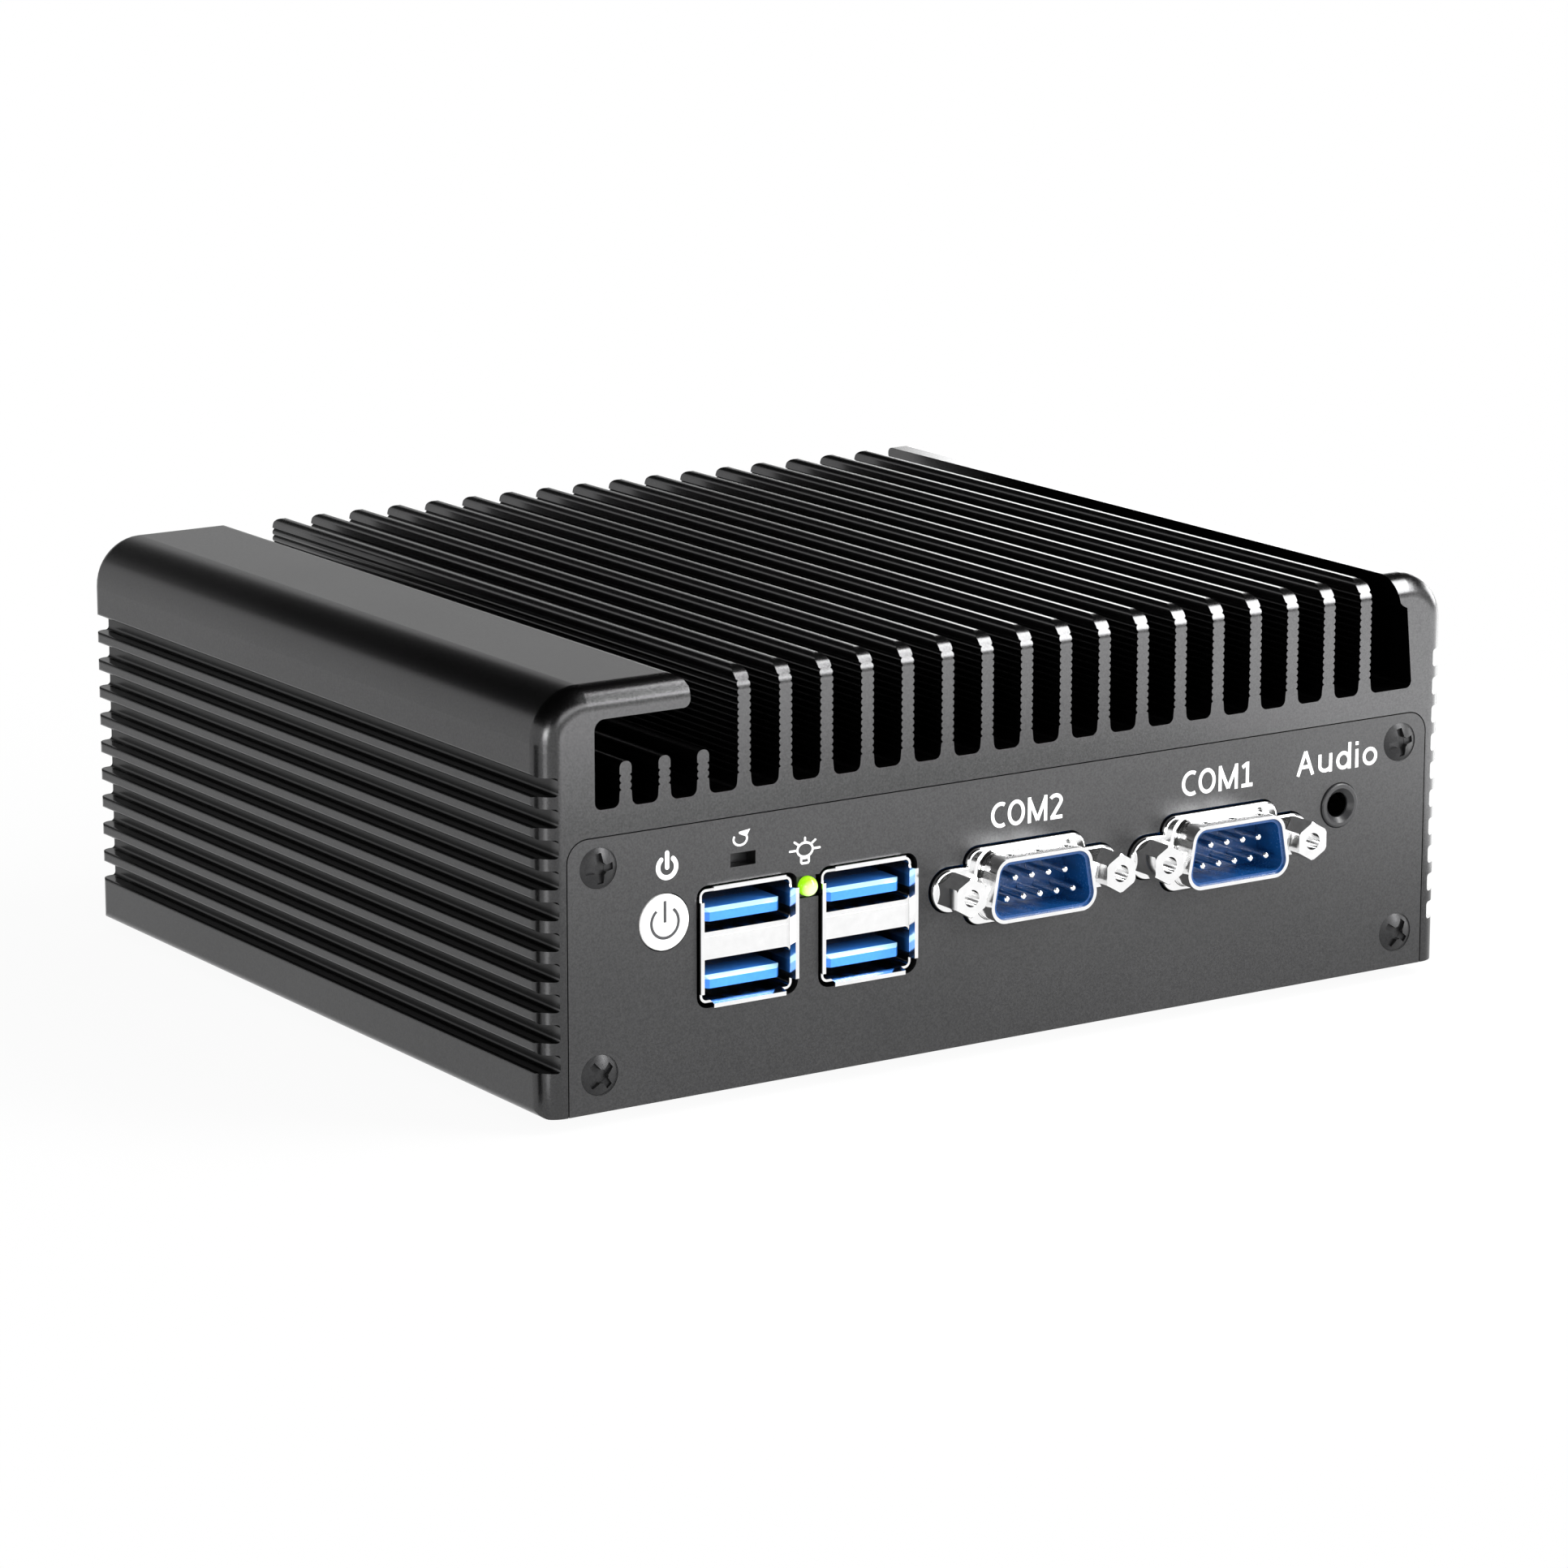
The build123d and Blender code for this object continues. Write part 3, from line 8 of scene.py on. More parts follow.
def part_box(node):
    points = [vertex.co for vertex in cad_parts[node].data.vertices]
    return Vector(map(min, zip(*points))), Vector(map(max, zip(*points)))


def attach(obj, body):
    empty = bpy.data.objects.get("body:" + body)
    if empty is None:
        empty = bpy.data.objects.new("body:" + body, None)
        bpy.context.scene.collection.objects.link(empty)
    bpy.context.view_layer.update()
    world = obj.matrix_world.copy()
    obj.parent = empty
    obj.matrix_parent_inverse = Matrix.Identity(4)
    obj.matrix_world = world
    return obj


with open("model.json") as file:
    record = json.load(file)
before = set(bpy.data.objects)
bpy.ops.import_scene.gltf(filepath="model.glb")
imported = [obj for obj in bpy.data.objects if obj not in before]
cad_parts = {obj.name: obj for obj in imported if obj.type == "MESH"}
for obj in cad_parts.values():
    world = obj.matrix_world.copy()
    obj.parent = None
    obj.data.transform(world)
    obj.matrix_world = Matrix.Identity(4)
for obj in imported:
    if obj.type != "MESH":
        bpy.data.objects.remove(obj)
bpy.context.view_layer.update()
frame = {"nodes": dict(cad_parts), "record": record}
nodes = frame["nodes"]
mm = 0.001
print("frame loaded,", len(nodes), "nodes")


def boxCentre(node):
    # middle of a node's box
    low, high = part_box(node)
    return (low + high) / 2


# ---- camera -------------------------------------------------------------------------------------
cameraSettings = {
    "azimuth": -33.379,      # degrees round the case, 0 is straight at the front
    "elevation": 13.314,
    "distance": 844.05 * mm,
    "aimHeight": 30.0 * mm,
    "aimRight": 3.348 * mm,  # sideways and upward slide of the whole view
    "aimUp": -4.858 * mm,
    "lens": 133.82,
    "sensor": 36.0,
    "nearest": 0.01,
    "farthest": 20.0,
}


def makeCamera(settings):
    azimuth = math.radians(settings["azimuth"])
    elevation = math.radians(settings["elevation"])
    back = Vector((
        math.sin(azimuth) * math.cos(elevation),
        -math.cos(azimuth) * math.cos(elevation),
        math.sin(elevation),
    ))
    right = Vector((math.cos(azimuth), math.sin(azimuth), 0.0))
    up = back.cross(right)
    data = bpy.data.cameras.new("camera")
    data.lens = settings["lens"]
    data.sensor_width = settings["sensor"]
    data.clip_start = settings["nearest"]
    data.clip_end = settings["farthest"]
    camera = bpy.data.objects.new("camera", data)
    aim = Vector((0, 0, settings["aimHeight"])) + right * settings["aimRight"] + up * settings["aimUp"]
    camera.location = aim + back * settings["distance"]
    camera.rotation_mode = "QUATERNION"
    camera.rotation_quaternion = (-back).to_track_quat("-Z", "Y")
    bpy.context.scene.collection.objects.link(camera)
    bpy.context.scene.camera = camera


makeCamera(cameraSettings)
bpy.context.scene.view_settings.view_transform = "Standard"
print("camera placed")


# ---- node helpers -------------------------------------------------------------------------------
def put(tree, kind, inputs=None, **settings):
    # a shader node with its settings and the values of its own sockets
    node = tree.nodes.new(kind)
    for name, value in settings.items():
        setattr(node, name, value)
    for name, value in (inputs or {}).items():
        node.inputs[name].default_value = value
    return node


def emptyMaterial(name):
    material = bpy.data.materials.new(name)
    material.use_nodes = True
    material.node_tree.nodes.clear()
    return material, material.node_tree


def seenRay(tree):
    # 1 for camera, glossy and transmission rays, 0 for the rest
    path = put(tree, "ShaderNodeLightPath")
    total = path.outputs["Is Camera Ray"]
    for name in ("Is Glossy Ray", "Is Transmission Ray"):
        higher = put(tree, "ShaderNodeMath", operation="MAXIMUM")
        tree.links.new(total, higher.inputs[0])
        tree.links.new(path.outputs[name], higher.inputs[1])
        total = higher.outputs[0]
    return total


def stageObject(name, corners, material):
    mesh = bpy.data.meshes.new(name)
    mesh.from_pydata(corners, [], [(0, 1, 2, 3)])
    mesh.materials.append(material)
    item = bpy.data.objects.new(name, mesh)
    bpy.context.scene.collection.objects.link(item)
    return item


# ---- stage --------------------------------------------------------------------------------------
stageSettings = {
    "floorHalf": 3.0,
    "floorColour": (0.86, 0.86, 0.86, 1.0),
    "nearWhite": 0.94,        # share of plain white in the seen floor by the case, the rest keeps the shadow
    "near": 0.10,             # distances over which that share grows to the whole
    "far": 0.24,
    "worldLevel": 0.42,       # light from all round on matt surfaces
}


def square(half, level):
    return [Vector((a * half, b * half, level)) for a, b in ((-1, -1), (1, -1), (1, 1), (-1, 1))]


def makeFloor(settings):
    material, tree = emptyMaterial("stageFloor")
    matt = put(tree, "ShaderNodeBsdfDiffuse", {"Color": settings["floorColour"]})
    white = put(tree, "ShaderNodeEmission", {"Color": (1, 1, 1, 1), "Strength": 1.0})
    mix = put(tree, "ShaderNodeMixShader")
    place = put(tree, "ShaderNodeTexCoord")
    away = put(tree, "ShaderNodeVectorMath", operation="LENGTH")
    tree.links.new(place.outputs["Object"], away.inputs[0])
    spread = put(tree, "ShaderNodeMapRange", {
        "From Min": settings["near"], "From Max": settings["far"],
        "To Min": settings["nearWhite"], "To Max": 1.0,
    })
    tree.links.new(away.outputs["Value"], spread.inputs["Value"])
    share = put(tree, "ShaderNodeMath", operation="MULTIPLY")
    tree.links.new(seenRay(tree), share.inputs[0])
    tree.links.new(spread.outputs[0], share.inputs[1])
    tree.links.new(share.outputs[0], mix.inputs[0])
    tree.links.new(matt.outputs[0], mix.inputs[1])
    tree.links.new(white.outputs[0], mix.inputs[2])
    out = put(tree, "ShaderNodeOutputMaterial")
    tree.links.new(mix.outputs[0], out.inputs["Surface"])
    stageObject("floor", square(settings["floorHalf"], 0), material)


def makeWorld(settings):
    world = bpy.data.worlds.new("studio")
    bpy.context.scene.world = world
    world.use_nodes = True
    tree = world.node_tree
    tree.nodes.clear()
    level = put(tree, "ShaderNodeMapRange", {"To Min": settings["worldLevel"], "To Max": 1.0})
    tree.links.new(seenRay(tree), level.inputs["Value"])
    light = put(tree, "ShaderNodeBackground", {"Color": (1, 1, 1, 1)})
    tree.links.new(level.outputs[0], light.inputs["Strength"])
    out = put(tree, "ShaderNodeOutputWorld")
    tree.links.new(light.outputs[0], out.inputs["Surface"])


def standing(fromAngle, toAngle, reach, high):
    # corners of a card that stands on the floor between two directions, in degrees from +X towards +Y
    ends = []
    for angle in (math.radians(fromAngle), math.radians(toAngle)):
        ends.append(Vector((math.cos(angle) * reach, math.sin(angle) * reach, 0)))
    up = Vector((0, 0, high))
    return [ends[0], ends[1], ends[1] + up, ends[0] + up]


def flat(level, *places):
    # corners of a card that lies just over the floor
    return [Vector((x, y, level)) for x, y in places]


def spreading(start, toward, spread, near, far, level):
    # corners of a card just over the floor that runs away from a point and widens by spread
    along = Vector((*toward, 0)).normalized()
    across = Vector((-along.y, along.x, 0))
    first = Vector((*start, level))
    return [
        first + along * near - across * near * spread, first + along * far - across * far * spread,
        first + along * far + across * far * spread, first + along * near + across * near * spread,
    ]


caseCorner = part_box("housing")[0].xy
cardSettings = {
    # cards as product studios set them round metal, seen only in gloss: corners and brightness
    "overhead": {"corners": square(2.3, 0.95), "level": 0.012},
    "backLeft": {"corners": standing(54.5, 112, 1.3, 0.56), "level": 0.56},
    "backRight": {"corners": standing(24, 54, 1.25, 0.56), "level": 4.0},
    "edgeDark": {"corners": spreading(caseCorner, (-0.93, 0.20), 0.25, 0.010, 0.30, 0.0012), "level": 0.012},
    "edgeGlow": {"corners": spreading(caseCorner, (-0.83, -0.53), 0.16, 0.015, 0.45, 0.0010), "level": 3.2},
    "frontGlow": {
        "corners": flat(0.0008, (-0.02, -0.235), (0.45, -0.235), (0.75, -0.75), (-0.02, -0.75)),
        "level": 4.2,
    },
    "rightGlow": {
        "corners": flat(0.0006, (0.135, -0.28), (0.60, -0.40), (0.60, 0.20), (0.135, -0.02)),
        "level": 4.0,
    },
}


def makeCards(settings):
    for name, card in settings.items():
        material, tree = emptyMaterial(name + "Card")
        glow = put(tree, "ShaderNodeEmission", {"Color": (1, 1, 1, 1), "Strength": card["level"]})
        out = put(tree, "ShaderNodeOutputMaterial")
        tree.links.new(glow.outputs[0], out.inputs["Surface"])
        item = stageObject(name + "Card", card["corners"], material)
        item.visible_camera = False
        item.visible_diffuse = False
        item.visible_transmission = False
        item.visible_shadow = False


lampSettings = {
    # place, width along the long direction and height across it, light given off per area
    "overhead": {"at": (0.46, -0.42, 0.46), "long": (0, 0.72, 0.69), "size": (0.70, 0.20), "radiance": 21.0},
    "leftFront": {
        "at": (-0.86, -0.58, 0.17), "long": (0.58, -0.86, 0), "size": (0.34, 0.30), "radiance": 9.0,
    },
    "rightSide": {"at": (0.95, 0.05, 0.16), "long": (0, 1, 0), "size": (0.45, 0.28), "radiance": 7.0},
    "frontFill": {"at": (0.10, -1.15, 0.50), "long": (1, 0, 0), "size": (0.9, 0.35), "radiance": 3.0},
}


lampTarget = Vector((0, 0, 0.03))


def makeLamps(settings):
    for name, lamp in settings.items():
        width, height = lamp["size"]
        data = bpy.data.lights.new(name, "AREA")
        data.shape = "RECTANGLE"
        data.size = width
        data.size_y = height
        data.energy = lamp["radiance"] * math.pi * width * height
        item = bpy.data.objects.new(name, data)
        item.location = lamp["at"]
        away = (item.location - lampTarget).normalized()
        across = away.cross(Vector(lamp["long"])).normalized()
        along = across.cross(away)
        item.rotation_mode = "QUATERNION"
        item.rotation_quaternion = Matrix((along, across, away)).transposed().to_quaternion()
        item.visible_camera = False
        bpy.context.scene.collection.objects.link(item)


makeFloor(stageSettings)
makeWorld(stageSettings)
makeCards(cardSettings)
makeLamps(lampSettings)
print("stage lit")


# ---- finishes -----------------------------------------------------------------------------------
def startFinish(name):
    material, tree = emptyMaterial(name)
    shader = put(tree, "ShaderNodeBsdfPrincipled")
    out = put(tree, "ShaderNodeOutputMaterial")
    tree.links.new(shader.outputs[0], out.inputs["Surface"])
    return material, tree, shader


noiseDetail = 2.0
fieldRange = (0.3, 0.7)    # noise hardly leaves this range


def noiseField(tree, size, stretch=(1, 1, 1)):
    # noise whose features are about size across, drawn out along an axis by stretch
    place = put(tree, "ShaderNodeTexCoord")
    scale = put(tree, "ShaderNodeMapping", {"Scale": tuple(1 / (size * s) for s in stretch)})
    noise = put(tree, "ShaderNodeTexNoise", {"Scale": 1.0, "Detail": noiseDetail})
    tree.links.new(place.outputs["Object"], scale.inputs["Vector"])
    tree.links.new(scale.outputs[0], noise.inputs["Vector"])
    return noise.outputs[0]


def tonesOf(tree, field, dark, light, spread=fieldRange):
    # colour between two tones as a field runs over spread
    ramp = put(tree, "ShaderNodeValToRGB")
    for stop, position, tone in zip(ramp.color_ramp.elements, spread, (dark, light)):
        stop.position = position
        stop.color = (*tone, 1)
    tree.links.new(field, ramp.inputs[0])
    return ramp.outputs[0]


def ramped(tree, value, fromLow, fromHigh, toLow, toHigh):
    node = put(tree, "ShaderNodeMapRange", {
        "From Min": fromLow, "From Max": fromHigh, "To Min": toLow, "To Max": toHigh,
    })
    tree.links.new(value, node.inputs["Value"])
    return node.outputs[0]


def rangeOf(tree, field, low, high):
    return ramped(tree, field, *fieldRange, low, high)


def plainMix(tree, first, second, share):
    mix = put(tree, "ShaderNodeMix", {"Factor": share}, data_type="FLOAT")
    tree.links.new(first, mix.inputs[2])
    tree.links.new(second, mix.inputs[3])
    return mix.outputs[0]


def bumpOf(tree, shader, height, depth):
    bump = put(tree, "ShaderNodeBump", {"Strength": 1.0, "Distance": depth})
    tree.links.new(height, bump.inputs["Height"])
    tree.links.new(bump.outputs[0], shader.inputs["Normal"])


def worked(tree, kind, *values):
    # a math node on sockets and plain numbers
    node = put(tree, "ShaderNodeMath", operation=kind)
    for socket, item in zip(node.inputs, values):
        if isinstance(item, float):
            socket.default_value = item
        else:
            tree.links.new(item, socket)
    return node.outputs[0]


def placeParts(tree):
    place = put(tree, "ShaderNodeTexCoord")
    parts = put(tree, "ShaderNodeSeparateXYZ")
    tree.links.new(place.outputs["Object"], parts.inputs[0])
    return parts.outputs


def paintShadeOn(tree, shader, factor):
    # painted shade: multiply the base colour by a factor that follows the place on the piece
    colour = shader.inputs["Base Color"].links[0].from_socket
    scaled = put(tree, "ShaderNodeVectorMath", operation="SCALE")
    tree.links.new(colour, scaled.inputs[0])
    tree.links.new(factor, scaled.inputs["Scale"])
    tree.links.new(scaled.outputs[0], shader.inputs["Base Color"])


# where the painted shade in the side grooves starts and ends, and its shares
paintedGrooveShadeSettings = {
    "dark": (0.4 * mm, 1.9 * mm, 1.0, 0.30),    # depth from the side where it starts and ends, shares
    "behind": (3.0 * mm, 3.4 * mm, 0.0, 1.0),   # deeper than this the metal is not groove any more
    "over": (8.4 * mm, 8.0 * mm, 0.0, 1.0),     # below the top, where the grooves end
    "front": (0.5 * mm, 3.0 * mm, 1.0, 0.0),    # behind the front face, over the rounding
}


def paintedGrooveShade(tree):
    # painted shade down in the side grooves: darker from mouth to floor, behind the rounding
    low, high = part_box("housing")
    x, y, z = placeParts(tree)
    depth = worked(tree, "SUBTRACT", high.x, worked(tree, "ABSOLUTE", x))
    inside = ramped(tree, depth, *paintedGrooveShadeSettings["dark"])
    outside = ramped(tree, depth, *paintedGrooveShadeSettings["behind"])
    start, end, *shares = paintedGrooveShadeSettings["over"]
    lowSide = ramped(tree, z, high.z - start, high.z - end, *shares)
    start, end, *shares = paintedGrooveShadeSettings["front"]
    front = ramped(tree, y, low.y + start, low.y + end, *shares)
    free = worked(tree, "MAXIMUM", worked(tree, "MAXIMUM", outside, lowSide), front)
    return worked(tree, "MAXIMUM", inside, free)


# depths behind the housing's front or rear where the painted shade starts and ends, and shares there
nickelShadeDepths = (0.6 * mm, 1.6 * mm, 1.0, 0.35)
portShadeDepths = (1.6 * mm, 6.5 * mm, 1.0, 0.10)


# painted shade that grows with depth behind the housing's front or rear
def paintedDepthShade(tree, depths):
    depth = worked(tree, "SUBTRACT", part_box("housing")[1].y, worked(tree, "ABSOLUTE", placeParts(tree)[1]))
    return ramped(tree, depth, *depths)


def paintedNickelShade(tree):
    # painted shade: the plating darkens deeper inside the sockets, where less light reaches it
    return paintedDepthShade(tree, nickelShadeDepths)


def paintedPortShade(tree):
    # painted shade: the blue darkens towards the back of each port, where shade falls
    return paintedDepthShade(tree, portShadeDepths)


# size, slack and colour of the painted highlight on the tongue bevels
bevelHighlightSettings = {
    "size": 0.55 * mm,
    "slack": 0.02 * mm,      # leaves the front face out
    "above": 0.05 * mm,
    "colour": (0.46, 0.80, 1.0, 1),
}


def paintedBevelHighlight(tree):
    # painted highlight on the thin bevelled edge of each tongue: pale over its height and depth
    bevel, slack = bevelHighlightSettings["size"], bevelHighlightSettings["slack"]
    mesh = nodes["usb_tongues_left"].data
    points = np.zeros(len(mesh.vertices) * 3)
    mesh.vertices.foreach_get("co", points)
    points = points.reshape(-1, 3)
    tip = points[:, 1].min()
    levels = points[points[:, 1] < tip + slack, 2]
    lowerTop = levels[levels < levels.mean()].max()
    _, y, z = placeParts(tree)
    near = worked(tree, "LESS_THAN", y, float(tip + bevel))
    masks = []
    for level in (lowerTop, levels.max()):
        over = worked(tree, "GREATER_THAN", z, float(level + slack))
        under = worked(tree, "LESS_THAN", z, float(level + bevel + bevelHighlightSettings["above"]))
        masks.append(worked(tree, "MULTIPLY", worked(tree, "MULTIPLY", over, under), near))
    return worked(tree, "MAXIMUM", *masks), bevelHighlightSettings["colour"]


def makeFinish(name, look):
    # grain is quick and cloud is slow: tones follow a mix of both, roughness and height follow the grain
    material, tree, shader = startFinish(name)
    grain = noiseField(tree, look["grain"], look.get("stretch", (1, 1, 1)))
    cloud = noiseField(tree, look.get("cloud", 20 * mm))
    both = plainMix(tree, grain, cloud, look.get("cloudShare", 0.4))
    tree.links.new(tonesOf(tree, both, *look["tones"]), shader.inputs["Base Color"])
    tree.links.new(rangeOf(tree, both, *look["rough"]), shader.inputs["Roughness"])
    bumpOf(tree, shader, grain, look["depth"])
    for socket, value in look.get("sockets", {}).items():
        shader.inputs[socket].default_value = value
    # painted shade on the base colour
    if "paintedShade" in look:
        paintShadeOn(tree, shader, look["paintedShade"](tree))
    # painted highlight mixed into the base colour
    if "paintedHighlight" in look:
        mask, paintedHighlight = look["paintedHighlight"](tree)
        mix = put(tree, "ShaderNodeMix", {7: paintedHighlight}, data_type="RGBA")
        tree.links.new(shader.inputs["Base Color"].links[0].from_socket, mix.inputs[6])
        tree.links.new(mask, mix.inputs["Factor"])
        tree.links.new(mix.outputs[2], shader.inputs["Base Color"])
    return material


finishLooks = {
    "anodised_housing": {
        "tones": ((0.054, 0.054, 0.055), (0.078, 0.078, 0.079)),
        "rough": (0.20, 0.27), "grain": 0.24 * mm, "depth": 0.002 * mm, "cloud": 30 * mm, "cloudShare": 0.2,
        # painted shade down in the side grooves
        "sockets": {"Metallic": 1.0}, "paintedShade": paintedGrooveShade,
    },
    "anodised_panel": {
        "tones": ((0.058, 0.058, 0.059), (0.084, 0.084, 0.085)),
        "rough": (0.36, 0.46), "grain": 0.24 * mm, "depth": 0.006 * mm, "cloud": 25 * mm, "cloudShare": 0.2,
        "sockets": {"Metallic": 1.0},
    },
    "black_screw": {
        "tones": ((0.018, 0.018, 0.019), (0.034, 0.034, 0.035)),
        "rough": (0.34, 0.50), "grain": 0.25 * mm, "depth": 0.006 * mm, "cloud": 3 * mm,
        "sockets": {"Metallic": 0.6},
    },
    "black_rubber": {
        "tones": ((0.012, 0.012, 0.012), (0.024, 0.024, 0.024)),
        "rough": (0.65, 0.85), "grain": 0.30 * mm, "depth": 0.03 * mm, "cloud": 6 * mm,
        "sockets": {"Sheen Weight": 0.15, "Specular IOR Level": 0.3},
    },
    "white_plastic": {
        "tones": ((0.84, 0.84, 0.83), (0.90, 0.90, 0.89)),
        "rough": (0.38, 0.48), "grain": 0.15 * mm, "depth": 0.003 * mm, "cloud": 5 * mm,
    },
    "spring_steel": {
        "tones": ((0.46, 0.46, 0.47), (0.62, 0.62, 0.62)),
        "rough": (0.20, 0.34), "grain": 0.20 * mm, "depth": 0.004 * mm,
        "sockets": {"Metallic": 1.0},
    },
    "black_plastic": {
        "tones": ((0.012, 0.012, 0.013), (0.022, 0.022, 0.024)),
        "rough": (0.34, 0.46), "grain": 0.18 * mm, "depth": 0.006 * mm, "cloud": 4 * mm,
    },
    "bright_nickel": {
        "tones": ((0.90, 0.90, 0.90), (0.97, 0.97, 0.97)),
        "rough": (0.09, 0.14), "grain": 1.5 * mm, "depth": 0.001 * mm, "cloud": 8 * mm,
        # painted shade deeper inside the sockets
        "sockets": {"Metallic": 1.0}, "paintedShade": paintedNickelShade,
    },
    "blue_plastic": {
        "tones": ((0.048, 0.27, 0.96), (0.060, 0.32, 1.0)),
        "rough": (0.16, 0.24), "grain": 0.5 * mm, "depth": 0.001 * mm, "cloud": 5 * mm,
        # painted shade towards the back of each port, and a painted highlight on the tongue bevels
        "paintedShade": paintedPortShade, "paintedHighlight": paintedBevelHighlight,
    },
    "navy_plastic": {
        "tones": ((0.004, 0.045, 0.16), (0.006, 0.065, 0.23)),
        "rough": (0.20, 0.30), "grain": 0.3 * mm, "depth": 0.004 * mm, "cloud": 4 * mm,
    },
    "gold_contact": {
        "tones": ((0.80, 0.66, 0.42), (0.92, 0.82, 0.62)),
        "rough": (0.14, 0.24), "grain": 0.3 * mm, "depth": 0.002 * mm,
        "sockets": {"Metallic": 1.0},
    },
    "pinNickel": {
        "tones": ((0.86, 0.86, 0.85), (0.95, 0.95, 0.94)),
        "rough": (0.14, 0.22), "grain": 0.3 * mm, "depth": 0.001 * mm,
        "sockets": {"Metallic": 1.0},
    },
    "lamp_window": {
        "tones": ((0.62, 0.58, 0.36), (0.74, 0.70, 0.48)),
        "rough": (0.22, 0.34), "grain": 0.3 * mm, "depth": 0.004 * mm,
        "sockets": {"Transmission Weight": 0.3},
    },
    "brass_pillar": {
        "tones": ((0.58, 0.40, 0.16), (0.74, 0.56, 0.27)),
        "rough": (0.18, 0.32), "grain": 0.15 * mm, "stretch": (8, 8, 1), "depth": 0.006 * mm,
        "sockets": {"Metallic": 1.0},
    },
    "chip_package": {
        "tones": ((0.010, 0.030, 0.016), (0.030, 0.060, 0.034)),
        "rough": (0.16, 0.40), "grain": 0.5 * mm, "depth": 0.006 * mm, "cloud": 8 * mm,
    },
    "grey_pad": {
        "tones": ((0.32, 0.33, 0.36), (0.44, 0.45, 0.48)),
        "rough": (0.62, 0.80), "grain": 0.35 * mm, "depth": 0.02 * mm,
    },
    "copper_block": {
        "tones": ((0.62, 0.26, 0.13), (0.82, 0.44, 0.27)),
        "rough": (0.18, 0.36), "grain": 0.12 * mm, "stretch": (30, 1, 30), "depth": 0.006 * mm,
        "sockets": {"Metallic": 1.0},
    },
    "cell_steel": {
        "tones": ((0.52, 0.52, 0.52), (0.70, 0.70, 0.70)),
        "rough": (0.16, 0.34), "grain": 0.10 * mm, "stretch": (20, 1, 20), "depth": 0.003 * mm,
        "sockets": {"Metallic": 1.0},
    },
    "grey_ferrite": {
        "tones": ((0.045, 0.045, 0.048), (0.10, 0.10, 0.105)),
        "rough": (0.5, 0.75), "grain": 0.2 * mm, "depth": 0.02 * mm,
    },
}


boardSettings = {
    "tracks": {
        "Scale": 260.0, "Mortar Size": 0.03, "Mortar Smooth": 0.1, "Color1": (0.008, 0.085, 0.030, 1),
        "Color2": (0.010, 0.105, 0.038, 1), "Mortar": (0.020, 0.150, 0.060, 1),
    },
    "viaScale": 420.0,
    "viaEdge": (0.12, 0.16),
    "viaColour": (0.55, 0.42, 0.16, 1),
    "grain": 0.5 * mm,
    "rough": (0.22, 0.38),
    "depth": 0.02 * mm,
}


def boardFinish(settings):
    # solder mask over copper: a brick-like net of tracks and dots of vias
    material, tree, shader = startFinish("green_board")
    place = put(tree, "ShaderNodeTexCoord")
    tracks = put(tree, "ShaderNodeTexBrick", settings["tracks"])
    tree.links.new(place.outputs["Object"], tracks.inputs["Vector"])
    dots = put(tree, "ShaderNodeTexVoronoi", {"Scale": settings["viaScale"]}, feature="F1")
    tree.links.new(place.outputs["Object"], dots.inputs["Vector"])
    mix = put(tree, "ShaderNodeMix", {7: settings["viaColour"]}, data_type="RGBA")
    via = ramped(tree, dots.outputs["Distance"], *settings["viaEdge"], 1.0, 0.0)
    tree.links.new(via, mix.inputs["Factor"])
    tree.links.new(tracks.outputs["Color"], mix.inputs[6])
    tree.links.new(mix.outputs[2], shader.inputs["Base Color"])
    grain = noiseField(tree, settings["grain"])
    tree.links.new(rangeOf(tree, grain, *settings["rough"]), shader.inputs["Roughness"])
    bumpOf(tree, shader, tracks.outputs["Fac"], settings["depth"])
    return material


lensSettings = {
    "middle": (0.0, 0.35, -0.2),     # bright spot in lens radii: across, behind the front, up
    "stops": (0.42, 1.05),           # distances from it, in radii, of the two glow colours
    "pale": (1.0, 1.0, 0.72),
    "lime": (0.24, 0.62, 0.004),
    "tones": ((0.20, 0.42, 0.01), (0.28, 0.52, 0.02)),
    "grain": 0.4 * mm,
    "rough": (0.10, 0.18),
    "depth": 0.002 * mm,
}


def lensFinish(settings):
    # lit lamp lens: light falls from a pale middle to lime at the rim with the distance from its centre
    material, tree, shader = startFinish("green_lens")
    low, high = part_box("indicator_lamp")
    radius = (high.x - low.x) / 2
    _, behind, up = settings["middle"]
    centre = ((low.x + high.x) / 2, low.y + radius * behind, (low.z + high.z) / 2 + radius * up)
    place = put(tree, "ShaderNodeTexCoord")
    away = put(tree, "ShaderNodeVectorMath", {1: centre}, operation="DISTANCE")
    tree.links.new(place.outputs["Object"], away.inputs[0])
    share = put(tree, "ShaderNodeMath", {1: radius}, operation="DIVIDE")
    tree.links.new(away.outputs["Value"], share.inputs[0])
    glow = tonesOf(tree, share.outputs[0], settings["pale"], settings["lime"], settings["stops"])
    tree.links.new(glow, shader.inputs["Emission Color"])
    shader.inputs["Emission Strength"].default_value = 1.0
    grain = noiseField(tree, settings["grain"])
    tree.links.new(tonesOf(tree, grain, *settings["tones"]), shader.inputs["Base Color"])
    tree.links.new(rangeOf(tree, grain, *settings["rough"]), shader.inputs["Roughness"])
    bumpOf(tree, shader, grain, settings["depth"])
    return material


ownFinishes = {"com1_pins": "pinNickel", "com2_pins": "pinNickel"}


